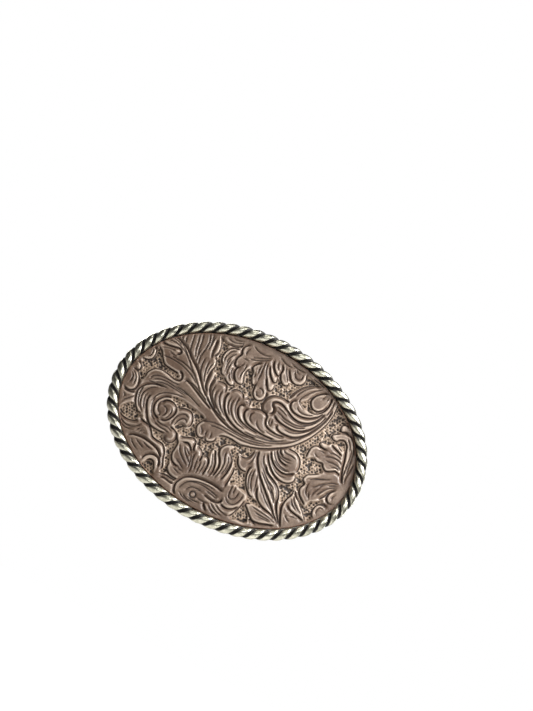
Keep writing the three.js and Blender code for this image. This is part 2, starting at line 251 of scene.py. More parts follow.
BOTTOM_LEAF = [
    (0, [(-13.6, -14.2), (-12.2, -15.4), (-11, -16.6)]),
    (0, [(-10.8, -15.6), (-10, -18), (-9.6, -20.6)]),
    (0, [(-13.4, -21.8), (-12, -22.4), (-10.6, -22.6)]),
    (0, [(3, -11.2), (3.1, -13.6), (2.7, -16.6)]),
    (-1, [(-18.9, -10.6), (-18, -12.6), (-16.9, -14.2), (-16.9, -16.4), (-17, -18.4), (-16, -20.4),
         (-14.4, -21.4), (-12.8, -21.6)]),
    (-1, [(-16.2, -21.4), (-16.3, -23.4), (-14.9, -25.1), (-12.7, -25.8), (-10.8, -25.7)]),
    (1, [(-10.4, -14.6), (-11, -12.8), (-11.2, -11), (-12.6, -10.1), (-14.4, -10.6), (-16.2, -11.4),
         (-17.6, -11.4)]),
    (-1, [(-15.9, -13.2), (-13.8, -12.6), (-12.2, -13.4), (-11, -15.2)]),
    (0, [(-16, -14.4), (-14.8, -16.6), (-12.8, -18.4), (-10.6, -20)]),
    (0, [(-14.3, -13.9), (-13, -16), (-11.2, -17.7), (-9.7, -19.2)]),
    (0, [(-15.2, -19.4), (-13, -20.4), (-11, -21.8)]),
    (0, [(-14.6, -22.8), (-12.8, -23.3), (-11.2, -24)]),
    (1, [(-7.1, -17), (-7, -14.7), (-7.9, -12.9), (-9.4, -12), (-10.6, -11.8)]),
    (0, [(-9.8, -14.4), (-9.6, -17), (-8.8, -19.4), (-8.8, -22)]),
    (1, [(-4, -20.6), (-3.7, -18), (-3.9, -15.6), (-4.8, -14), (-6.1, -13.8), (-6.9, -14.8)]),
    (0, [(-6.6, -16.4), (-6.4, -18.6), (-6.4, -21)]),
    (0, [(-5.3, -15.2), (-5.1, -18), (-5.4, -20.6)]),
    (0, [(-8, -14.8), (-7.9, -17.4), (-7.5, -20.4)]),
    (1, [(-1.9, -20), (-1.2, -17.6), (-1.6, -14.8), (-2.8, -12.4), (-3.6, -10.6), (-4.6, -11)]),
    (0, [(-4.4, -11.6), (-3.4, -13.6), (-2.6, -16), (-2.7, -19.6)]),
    (-1, [(1.4, -5.9), (-0.8, -6.7), (-2.3, -8.6), (-2.1, -10.8), (-0.9, -12.6), (0, -14.8),
         (-0.1, -17.4), (-0.7, -19.4)]),
    (0, [(-0.1, -8.9), (0.2, -11), (1, -13), (1.2, -15.6), (0.7, -18), (0.1, -19.8)]),
    (1, [(2.4, -19.4), (3.3, -16.6), (3.6, -13.6), (3.3, -11.4), (2.2, -9.7), (0.8, -8.5)]),
    (0, [(1.2, -10), (2.2, -12.2), (2.3, -15), (1.7, -18)]),
    (1, [(4.9, -20.8), (5.3, -18), (5.4, -15.4), (5.2, -13.4), (4.4, -12.4)]),
    (-1, [(-17.9, -26.8), (-16, -26.2), (-13.4, -26.4), (-11.2, -26.4)]),
    (1, [(-17.4, -27.9), (-15.4, -27.5), (-13.4, -27.9), (-11.3, -28)]),
]
BOTTOM_FLOWER = [
    (0, [(-9.4, -28.6), (-8.6, -26.4), (-7, -24.6), (-4.4, -23.4), (-1.2, -22.9), (2.4, -23.1)]),
    (0, [(-5.4, -29.6), (-2.8, -29.9), (-0.4, -29.8)]),
    (0, [(-7.4, -29.2), (-5.4, -30.3), (-2.4, -30.6)]),
    (0, [(-0.4, -24.8), (2.4, -25.2), (4.8, -25.8)]),
    (0, [(3.6, -29.6), (5.6, -30.4), (7.6, -30.8)]),
    (1, [(-9.4, -31), (-10.5, -29.4), (-10.9, -27.4), (-10.2, -25.4), (-8.6, -23.6), (-6, -22.5),
         (-2.4, -21.9), (2, -21.9), (5.4, -22.6)]),
    (0, [(-8.3, -25.4), (-5.6, -24.1), (-2, -23.7), (1.6, -24.2), (4.6, -25)]),
    (-1, [(5.9, -24.4), (6.2, -25.7), (5, -26.8), (2.8, -27), (0.9, -26.6), (-0.6, -26.4)]),
    (0, [(-7, -28), (-5.8, -26.2), (-3.6, -25.6), (-1, -26)]),
    (0, [(-2.3, -28.4), (0.2, -28.7), (2.6, -28.4)]),
    (-1, [(0.6, -28.6), (1.8, -29.9), (2.9, -31.2)]),
    (0, [(-8.6, -29.4), (-6.2, -30.6), (-3, -31.1)]),
    (0, [(3, -27.8), (5.6, -29.4), (8.6, -30.4)]),
    (0, [(4.6, -27.4), (7.4, -28.8), (10.4, -29.4)]),
    (0, [(2.6, -28.9), (4.6, -30.4), (6.4, -31)]),
    (1, [(12.6, -24.4), (10.9, -26.2), (8.6, -27), (6.2, -26.4)]),
    (0, [(6.6, -23.4), (8.6, -25), (10.6, -24.6), (11.9, -22.4), (12.2, -19.9)]),
    (0, [(7.4, -18.4), (7.4, -21.2), (7.8, -23), (9, -23.4), (10.2, -22), (10.4, -19.6)]),
    (0, [(8.6, -18.4), (8.6, -20.6), (8.9, -21.8)]),
    (1, [(13.6, -21.4), (13.2, -23.8), (12.4, -26), (11.6, -28), (10.8, -29.4)]),
]
CENTRE_STEM = [
    (0, [(-12.6, -5), (-11.2, -6.4), (-11, -7.8)]),
    (0, [(-8.2, -5.2), (-7.6, -6.8), (-8, -8)]),
    (0, [(-10, -3.4), (-6, -2.9), (-1, -3), (4, -2.9), (9, -1.9), (13.4, 0.2)]),
    (0, [(2, -1.4), (7, -0.7), (11.4, 0.4), (15.4, 2.2), (19, 4.6), (22, 8)]),
    (-1, [(-5.4, -5.7), (-3.6, -4.6), (-0.6, -4.3), (3, -4.6), (6.4, -3.8), (9.6, -2.7), (13, -1.1),
         (16.2, 0.8), (18.9, 2.7), (21.6, 5.4), (24.2, 9), (26.4, 13.4), (27.8, 17.6), (28.3, 21.4),
         (28.2, 25.2)]),
    (-1, [(-11.2, -2.2), (-12.8, -3.4), (-13.7, -5.6), (-13, -7.6), (-11.6, -8.9), (-10.2, -8.8),
         (-9.5, -7.8)]),
    (-1, [(-9.4, -7.9), (-8.4, -8.9), (-6.9, -8.7), (-5.7, -7.6), (-5.5, -6.1)]),
    (0, [(-9.6, -8.2), (-9.6, -6.8), (-9.9, -5.4)]),
    (0, [(-12.4, -3.4), (-10.4, -2.3), (-7, -1.8), (-2, -1.9), (3, -2), (7.4, -1.5), (11, -0.4)]),
    (1, [(9.8, -12.1), (7.8, -12.4), (6, -11.6), (4.8, -9.8), (4.5, -7.9)]),
    (-1, [(4.5, -7.8), (6.4, -8.1), (7.9, -7), (8.5, -5.2), (8.6, -3.6)]),
    (0, [(9.5, -3.4), (9.6, -6), (9.3, -8.6), (8.3, -10.2)]),
]
CENTRE_ACANTHUS = [
    (1, [(-15.6, 5.2), (-12, 2.6), (-8, 0.4), (-3.4, -1), (1, -1.4), (5, -1)]),
    (0, [(-17, 6.4), (-13, 3.7), (-9.4, 1.8), (-5, 0.4)]),
    (1, [(-16.6, 14.2), (-16, 12.6), (-16.1, 9.6), (-15.2, 7.2), (-13.2, 4.8), (-10.6, 2.6)]),
    (-1, [(-15, 12), (-13.4, 12.6), (-11.4, 12.5), (-10.3, 11.4), (-10.2, 9.4)]),
    (-1, [(-8.8, 10.6), (-9.2, 8.2), (-8.5, 5.8), (-6.9, 3.4), (-4.2, 1.4), (-0.8, 0.1), (3, -0.4),
         (7, -0.2)]),
    (0, [(-12.9, 9.6), (-13, 7.4), (-12.1, 5.2), (-10.2, 3.2), (-7.6, 1.6)]),
    (0, [(-11.3, 10.4), (-11.5, 8), (-10.6, 5.8), (-8.8, 3.6), (-6.2, 1.9)]),
    (0, [(-14.4, 10.6), (-14.5, 8.4), (-13.7, 6.4), (-12, 4.4)]),
    (1, [(-3.3, 10.6), (-4.2, 12.2), (-6, 12.8), (-7.8, 12.2), (-8.8, 10.6)]),
    (0, [(-6.1, 9.4), (-6.4, 7.4), (-5.6, 5), (-3.9, 3), (-1.4, 1.6), (2, 0.9)]),
    (0, [(-4.9, 10.6), (-4.8, 7.8), (-4.2, 5.6), (-2.6, 3.6), (0.2, 2.1), (3.6, 1.5)]),
    (0, [(-7.6, 9.6), (-7.6, 7.2), (-6.8, 5), (-5.2, 3)]),
    (-1, [(-1.6, 8.2), (-2.6, 8.5), (-3.4, 7.8), (-3.2, 6.2), (-2.2, 4.4), (-0.2, 3), (3, 2.2),
         (7, 1.9)]),
    (1, [(-0.3, 9.2), (-0.6, 10.8), (-1.8, 11.8), (-3.2, 11.2)]),
    (0, [(-2.4, 9.4), (-1.6, 10.2), (-1.4, 9.2)]),
    (-1, [(0.2, 8.3), (-0.6, 7.4), (-0.6, 5.9), (0.4, 4.4), (2.4, 3.2), (5.6, 2.6), (9.6, 2.3),
         (13, 2.6)]),
    (1, [(7.4, 8.2), (6.4, 9.6), (4.4, 10), (2.2, 9.5), (0.2, 8.3)]),
    (0, [(2.4, 8.4), (1.5, 6.8), (2, 5.2), (3.6, 4)]),
    (0, [(4.4, 5.8), (5, 4.5), (6.8, 3.4), (9.2, 3)]),
    (-1, [(7.2, 9.6), (7.4, 7.4), (8.2, 5.9), (10.2, 5), (13, 4.8), (16, 5.2)]),
    (0, [(8.2, 8.8), (8.6, 7), (9.8, 6)]),
    (0, [(9.2, 9.2), (9.4, 7.6), (9.5, 6.2)]),
    (0, [(8.4, 4), (12, 3.7), (15.6, 4.2)]),
    (0, [(6, 1), (10, 1.3), (14, 2.4), (17, 4.2)]),
    (0, [(2, 0.2), (7, 0.5), (12, 1.4), (15, 2.6)]),
]
RIGHT_SCROLL = [
    (1, [(12.6, 17.2), (9, 17.6), (6, 16.9), (4.2, 15.2), (3.4, 12.8), (3.8, 10.9), (5.2, 9.8),
         (7, 9.9)]),
    (-1, [(7, 9.9), (8.1, 10.9), (8, 12.4), (7, 13.4), (6.8, 14.5), (8.2, 15.4), (10.2, 15.3),
         (12.6, 14.3), (15.6, 12.9), (18.6, 12.6), (21.6, 13.8), (24, 16.4), (25.4, 19.6)]),
    (0, [(8.8, 13.6), (11, 13.2), (13.4, 12.2)]),
    (0, [(9.2, 12.2), (10.4, 11.8), (12, 11.6)]),
    (1, [(19.6, 27.8), (16.6, 26.6), (14, 24.4), (12.2, 21.8), (11.2, 19.2), (11.3, 18)]),
    (0, [(21, 27.2), (18.4, 25.2), (16.2, 22.6), (15, 20.4), (15, 19.2), (16.2, 18.2), (18, 17.2)]),
    (0, [(18.4, 26.9), (15.8, 24.8), (13.9, 22.2), (13, 20)]),
    (0, [(22.6, 26.6), (20, 24.6), (18.1, 22), (17.3, 20.2)]),
    (1, [(25, 22.6), (24, 20.4), (22.4, 19), (20.6, 19), (19.2, 20.2), (18.7, 21.8), (19.6, 24),
         (21.6, 25.8), (23.4, 26.6)]),
    (0, [(21.8, 23.2), (22.4, 24.4), (22.8, 25.4)]),
    (0, [(23.6, 23.6), (24, 24.8), (24.2, 25.8)]),
    (-1, [(25.2, 26.4), (25.5, 23.4), (24.8, 20.6), (23.3, 18.6), (21.2, 17.6), (18.8, 17.6)]),
    (-1, [(14.2, 19.2), (12.9, 18.2), (12.7, 16.8), (13.7, 15.4), (15.6, 14.6), (18.2, 14.6),
         (20.8, 15.4), (23.2, 17.2), (24.8, 19.4)]),
    (0, [(15, 17.6), (15.8, 16.3), (17.8, 15.7), (20.2, 16.2), (22, 17.2)]),
    (-1, [(9, 10.6), (11.2, 9.4), (14, 8.9), (17.4, 8.9), (20.6, 10), (23.4, 12.6), (25.4, 16),
         (26.2, 19)]),
    (0, [(10.8, 11.6), (13.6, 10.9), (17.2, 10.8), (20.4, 11.9), (23, 14.4), (24.8, 17.4)]),
    (0, [(12, 10.3), (15, 9.9), (18.4, 10.1), (21.4, 11.6)]),
    (-1, [(12, 8.2), (11.9, 7.1), (13.2, 6.2), (15.6, 6), (18.4, 6.4), (21, 8), (23.4, 10.8),
         (25.4, 14.4), (26.8, 18.4), (27.2, 22)]),
    (0, [(14, 7.6), (17, 7.6), (20, 8.8), (22.6, 11.4)]),
    (0, [(17, 5.4), (20, 6.6), (22.8, 9.6), (25, 13.4)]),
    (0, [(26.4, 25.6), (26.6, 22), (25.9, 18.6)]),
    (0, [(12.4, 13.6), (15.6, 12.2), (19, 12), (22, 13.2), (24.2, 15.6)]),
]
TOP_LEAF = [
    (0, [(-12.6, 29.6), (-12.4, 27.6), (-13, 26)]),
    (0, [(6.2, 30.2), (9.4, 29.6), (12.6, 29.6)]),
    (0, [(1.4, 30.6), (4.6, 29.2), (7.4, 28.9)]),
    (0, [(-8.2, 24.6), (-5.6, 25.4), (-3, 26.6), (-0.8, 28)]),
    (0, [(-8.8, 29.8), (-6, 28.6), (-3.2, 28.6), (-1, 29.6)]),
    (0, [(-8, 22.6), (-7.8, 20.6), (-8.2, 18.4), (-8, 16.6)]),
    (0, [(-10.6, 23.6), (-9.2, 24), (-7.8, 23.6)]),
    (0, [(-3, 24.6), (-3.1, 22.8), (-2.9, 21)]),
    (0, [(15.4, 29), (18.6, 28.6), (21.6, 27.8)]),
    (-1, [(-9.8, 29.6), (-11.4, 28.2), (-11.7, 26.4), (-11.2, 25), (-12, 23.4), (-12.1, 21.6),
         (-11.4, 20.2), (-10.1, 20.2)]),
    (-1, [(-9.6, 20.8), (-10.6, 19.4), (-10.5, 17.4), (-9.2, 15.5), (-7.4, 14.8), (-6.1, 15.6),
         (-6.8, 17.6), (-7, 19.8), (-6.2, 21.8)]),
    (0, [(-9, 22.6), (-9.4, 21.4), (-10.2, 20.4)]),
    (0, [(-9.4, 28.4), (-10, 26.6), (-9.6, 25)]),
    (-1, [(-3.2, 25.4), (-4.9, 24), (-5.6, 22.4), (-4.6, 21), (-4.4, 19.4), (-3.7, 17.7),
         (-2.6, 16.8), (-1.8, 17.6)]),
    (0, [(-3.9, 21.4), (-3.6, 20.2), (-3.8, 19)]),
    (0, [(-7.6, 25.6), (-5, 26.6), (-2.6, 27.6), (-0.6, 28.8)]),
    (0, [(-2.2, 26.6), (-2.1, 24), (-1.9, 21.4), (-1.9, 18.6)]),
    (0, [(-1.4, 26.6), (-0.8, 24), (0.4, 21.4), (1.4, 19.4), (1.6, 17.8)]),
    (-1, [(-1.8, 18.2), (-1.7, 16.2), (-1.3, 14.2), (0, 12.8), (1.6, 12.5), (3, 13.6), (3.4, 15.4),
         (2.6, 17.2)]),
    (0, [(-0.7, 16.2), (0.4, 16.9), (1.6, 16.3), (1.9, 15.2)]),
    (0, [(-0.6, 15.2), (0.2, 14), (1.4, 14)]),
    (-1, [(0.6, 21.6), (2, 19), (3.3, 17.6), (4.3, 18.2), (4.5, 19.8), (3.8, 20.9)]),
    (-1, [(-0.2, 26.2), (1, 23.6), (2.6, 21.8), (3.9, 21.1), (4.4, 22.2), (3.8, 23.4)]),
    (-1, [(0.2, 28.8), (1, 26.6), (2.2, 25), (3.8, 24), (4.7, 24.4)]),
    (0, [(1.8, 28.8), (2.4, 27), (3.6, 25.6)]),
    (-1, [(3.4, 28.6), (4.6, 27), (4.6, 24.8), (5.6, 23), (7.2, 21.9), (8.6, 22.4), (8.7, 23.8)]),
    (0, [(5, 28.4), (6, 26.6), (7.2, 24.8), (8, 23.4)]),
    (-1, [(6.4, 28.2), (7.6, 26.4), (8.8, 24.8), (10.6, 24.1), (12.6, 24.6), (13.7, 26.2),
         (13.6, 28), (12.9, 29.2)]),
    (0, [(8.6, 28.6), (9.4, 26.8), (10.8, 26), (12, 26.9), (12, 28.8)]),
    (0, [(8.8, 29.4), (9.8, 28.2), (10.8, 28.4)]),
]
UPPER_LEFT_LEAF = [
    (0, [(-15.6, 23.2), (-16, 21), (-15.4, 19.2)]),
    (0, [(-14, 21.6), (-14.2, 19), (-13.8, 16.8)]),
    (0, [(-12, 17.4), (-11.8, 15.6), (-10.6, 14.2)]),
    (0, [(-33.8, 13.2), (-31.5, 12.8), (-28.5, 12.6), (-25.5, 11.7), (-22.4, 10.2)]),
    (0, [(-35, 14.2), (-33.4, 13.8), (-31.8, 13.6)]),
    (0, [(-23.8, 7.6), (-21.4, 7), (-18, 5.6), (-14.6, 3.8)]),
    (0, [(-27, 3.8), (-23, 3.3), (-19, 2), (-15.4, 0.6)]),
    (-1, [(-12.4, 26.2), (-14.8, 25.6), (-16.6, 23.8), (-17.1, 21.4), (-16.5, 19.4), (-15.4, 18.3)]),
    (-1, [(-15.6, 18.2), (-15.4, 16.6), (-14.4, 15.2), (-13.1, 14.9)]),
    (-1, [(-13.2, 14.8), (-11.8, 13.6), (-10, 12.9), (-8.8, 13.6), (-9.4, 14.8)]),
    (0, [(-12.6, 24.4), (-14, 23), (-14.8, 21), (-14.6, 19)]),
    (0, [(-12.6, 22.4), (-13.2, 20), (-13.3, 17.6), (-12.8, 15.6)]),
    (0, [(-11.7, 19.8), (-11.8, 17.8), (-10.8, 16), (-9.4, 14.8)]),
    (0, [(-13.4, 25.4), (-15.2, 23.9), (-15.8, 22)]),
    (1, [(-20, 27), (-18, 26.1), (-15.2, 26.3), (-13, 27.2), (-11.8, 28.4)]),
    (0, [(-18.6, 28.2), (-16.2, 27.6), (-13.8, 28.2), (-12, 29.2)]),
    (0, [(-17, 29.2), (-14.8, 28.9), (-12.8, 29.6)]),
]
RIGHT_BRANCH = [
    (1, [(37.2, 16.8), (35.4, 17.3), (33.7, 16.7), (32.8, 17.6), (32.9, 18.9), (34.2, 19.5),
         (35.8, 19)]),
    (1, [(34, 16.2), (36, 16.9), (38.4, 16), (40, 13.8), (41.2, 10.8)]),
    (-1, [(33.9, 16), (32.2, 15), (31, 13.9), (31.8, 12.8), (33.4, 12.7), (34.4, 13.7), (36, 14.2),
         (37.6, 13), (38.3, 10.8), (39.2, 7.8), (39.9, 4.8), (40.7, 2), (42.2, -0.2)]),
    (0, [(39.6, 13), (40.4, 9.8), (40.6, 6.4), (41.2, 3)]),
    (0, [(41.4, 9.4), (41.6, 6), (42.1, 3)]),
    (0, [(36.6, 15.6), (38.4, 13.8), (39.2, 11.4)]),
    (-1, [(30.4, 9.9), (28.7, 10), (28.4, 9), (29.8, 8.2), (32, 8.2)]),
    (1, [(26.2, 2), (26, 4.4), (26.4, 6.6), (27.7, 7.8), (30.2, 8.1)]),
    (0, [(29, 6.3), (30.2, 6.9), (32, 6.6)]),
    (0, [(28, 5.4), (29.4, 4.4), (30.6, 4.6)]),
    (-1, [(28.6, 3.9), (30.2, 2.9), (32.2, 3.1), (33.2, 2), (34.6, 1.3), (36.2, 1.9), (37.6, 2.8),
         (39, 2.7), (40.2, 1.8)]),
    (0, [(31.6, 5.6), (34.8, 6.7), (37.6, 6.6), (39.4, 5.6)]),
    (0, [(32.8, 4.4), (35.6, 4.9), (38, 4.7), (39.9, 3.6)]),
    (0, [(32.6, 7.7), (35.4, 8.2), (38, 7.6)]),
    (0, [(35.2, 3.2), (37.2, 3.9), (39.2, 3.6)]),
    (1, [(37.6, 8.9), (35.4, 9.8), (33, 10.6), (32.8, 11.4)]),
    (0, [(34.2, 12.2), (35.4, 11), (37.2, 10.2)]),
]
RIGHT_FLOWER = [
    (0, [(40.6, 11.6), (41.2, 9), (40.9, 6), (40.9, 3), (41.8, 0.5)]),
    (0, [(42.8, 8.6), (42.6, 5.6), (42.2, 2.6), (42.6, 0)]),
    (0, [(38.6, -4.6), (38.9, -7), (40.6, -8.6), (42.4, -8.2)]),
    (0, [(36.6, -16.4), (36.4, -13.2), (37.4, -11), (39.4, -10.2), (40.8, -11)]),
    (0, [(31.6, -3.8), (33.8, -2.6), (36.4, -1.4)]),
    (0, [(32.2, -8), (33, -9.6), (33.6, -11)]),
    (0, [(37.6, -3.4), (39.2, -2.4), (41, -1.6)]),
    (0, [(29.8, -19.6), (31.2, -18.9), (33.2, -18.8)]),
    (-1, [(33.2, -0.6), (31, -2), (29.2, -3.2), (28.6, -5.2), (29.8, -6.3), (29.1, -8.4),
         (29.8, -10.4), (31.6, -11.9), (33.4, -13.2)]),
    (0, [(31.2, -5), (31, -7), (31.8, -9.2), (33.4, -10.2)]),
    (0, [(30.4, -4.6), (32.4, -3), (35, -1.9), (38, -0.6)]),
    (0, [(34.8, -5.4), (36.4, -3.2), (38.6, -1.6), (41, -1)]),
    (0, [(35.2, -8.6), (36.6, -6), (38.4, -3.8), (41, -2.2)]),
    (0, [(32.6, -6.6), (34.6, -4.6), (36.8, -2.4)]),
    (0, [(33.8, -9.4), (34.4, -7.2), (35.6, -5)]),
    (1, [(36.6, -9.2), (38, -7.4), (39, -5.4), (40.6, -3.8)]),
    (-1, [(41.2, -3), (39.6, -4.8), (39.2, -6.8), (40, -8.2), (41.2, -8.6)]),
    (0, [(41.8, -4.6), (41, -6), (41.2, -7.4)]),
    (-1, [(40.9, -10.6), (39.4, -9.8), (37.8, -10.4), (36.7, -12.4), (36.8, -14.6), (37.8, -16)]),
    (0, [(39.9, -11.6), (38.6, -11.4), (37.9, -13), (38.4, -14.4)]),
    (1, [(28.9, -24.2), (28, -22.2), (26.8, -19.4), (26.2, -17), (26.5, -14.4), (27.5, -12),
         (27.6, -9.6)]),
    (-1, [(35.8, -18.2), (34.6, -16.6), (32.6, -14.6), (30.6, -12.8), (28.8, -11.6), (27.8, -9.8)]),
    (-1, [(27.6, -15.6), (29, -16.8), (31, -17.4), (33.4, -17.8), (35.4, -18.4)]),
    (0, [(28.3, -11.4), (29.2, -13.6), (31, -15.2), (33.4, -16.6)]),
    (0, [(27.8, -13.2), (29.4, -15.2), (31.6, -16.4)]),
    (0, [(28, -19), (29.6, -20.4), (31.2, -21.4)]),
]
RIGHT_LEAF = [
    (0, [(17.2, -1.2), (19.4, -1.6), (22, -1.4)]),
    (0, [(16.2, -3.6), (18, -5), (20.4, -5.6), (22.8, -5.4)]),
    (0, [(13.8, -8), (16, -10.2), (18.6, -12.4), (21.2, -14.8), (23.2, -17.2)]),
    (0, [(18.4, -23.6), (21.4, -23.8), (24.6, -23.8)]),
    (0, [(11.2, -10.6), (11, -13), (11.8, -15.6), (13.2, -17.8)]),
    (-1, [(16.6, 1.3), (17.3, -0.3), (18.8, -1.3)]),
    (1, [(25.2, -4.6), (25.7, -3), (25.3, -0.9), (24.3, 0.9), (22.4, 2.1), (20, 2.3), (18.6, 2)]),
    (0, [(17.4, 1.4), (19, 0.2), (21.4, 0.2), (23.4, -0.4)]),
    (-1, [(15.7, 0.3), (16.8, -1.6), (18.8, -3.2), (21.6, -3.6)]),
    (0, [(14.8, -0.5), (16.2, -2.8), (18.4, -4.5), (21, -5.2), (23.2, -5.3)]),
    (-1, [(14, -1.3), (15.4, -3.7), (17.6, -5.6), (20.2, -6.5), (22.4, -6.4), (24, -5.5),
         (25.2, -4.6)]),
    (0, [(16.4, -0.4), (18, -2), (20.4, -2.5), (22.6, -2.2)]),
    (1, [(25.2, -4.8), (26, -6), (25.9, -7.8), (24, -9.2), (21.6, -9.5), (19, -8.7), (16.8, -7.1),
         (14.8, -5), (13.3, -2.6)]),
    (0, [(15.6, -4.8), (17.8, -6.9), (20.4, -7.9), (23, -7.7)]),
    (-1, [(10.2, -3.2), (10.9, -6), (12.4, -8.6), (15, -11.8), (18.6, -15.2), (22.4, -18.6),
         (25.6, -21.8), (27.8, -23.6)]),
    (0, [(12.2, -3.4), (13.2, -6.2), (15.6, -8.6), (18.4, -10.6), (21, -12.2), (22.6, -14.4),
         (24, -18), (26, -21)]),
    (1, [(28.2, -23.6), (26, -20.6), (24.3, -17.6), (23.6, -14.6), (22, -12), (19.4, -10.4),
         (16.4, -8.9), (14.4, -6.6)]),
    (0, [(14.2, -9.6), (17.2, -12.2), (20.4, -14.8), (23.4, -18)]),
    (0, [(18, -13.6), (20, -14.3), (21.8, -15.2)]),
    (0, [(16.6, -11.2), (19, -12.2), (21, -13.4)]),
    (-1, [(10.2, -9.4), (9.9, -12), (10.6, -14.8), (12.2, -17.4), (14.4, -19.2), (15.8, -19)]),
    (0, [(12, -9.4), (11.9, -12.4), (12.6, -15.2), (14, -17.6)]),
    (0, [(13.4, -10.4), (13.9, -13), (14.6, -15.6), (15.1, -18)]),
    (-1, [(15.4, -15), (16.2, -17.4), (17.8, -19.4), (20.4, -20.8), (23.4, -21.4), (26, -22.6)]),
    (0, [(17.6, -15.6), (19.2, -17.6), (21.6, -19.4), (24.2, -21)]),
    (0, [(15.2, -13), (16.6, -15), (18.2, -17)]),
    (-1, [(16, -21.6), (14.3, -22.4), (15.4, -23.6), (17.2, -25.2), (19, -26.5), (21.6, -26.4),
         (24.4, -25.4), (26.6, -24.8)]),
    (0, [(16.4, -22.2), (20, -22.6), (23.6, -23), (26.8, -23.8)]),
    (0, [(19.6, -24.6), (22.4, -24.4), (25, -24.2)]),
    (1, [(21, -27.6), (19.2, -26.8), (17.9, -26.6), (18.6, -28)]),
]
ALL_CUTS = [
    UPPER_FAN, LEFT_LEAF, LEFT_EDGE, SPIRAL, LOWER_LEFT,
    BOTTOM_LEAF, BOTTOM_FLOWER, CENTRE_STEM, CENTRE_ACANTHUS, RIGHT_SCROLL,
    TOP_LEAF, UPPER_LEFT_LEAF, RIGHT_BRANCH, RIGHT_FLOWER, RIGHT_LEAF,
]

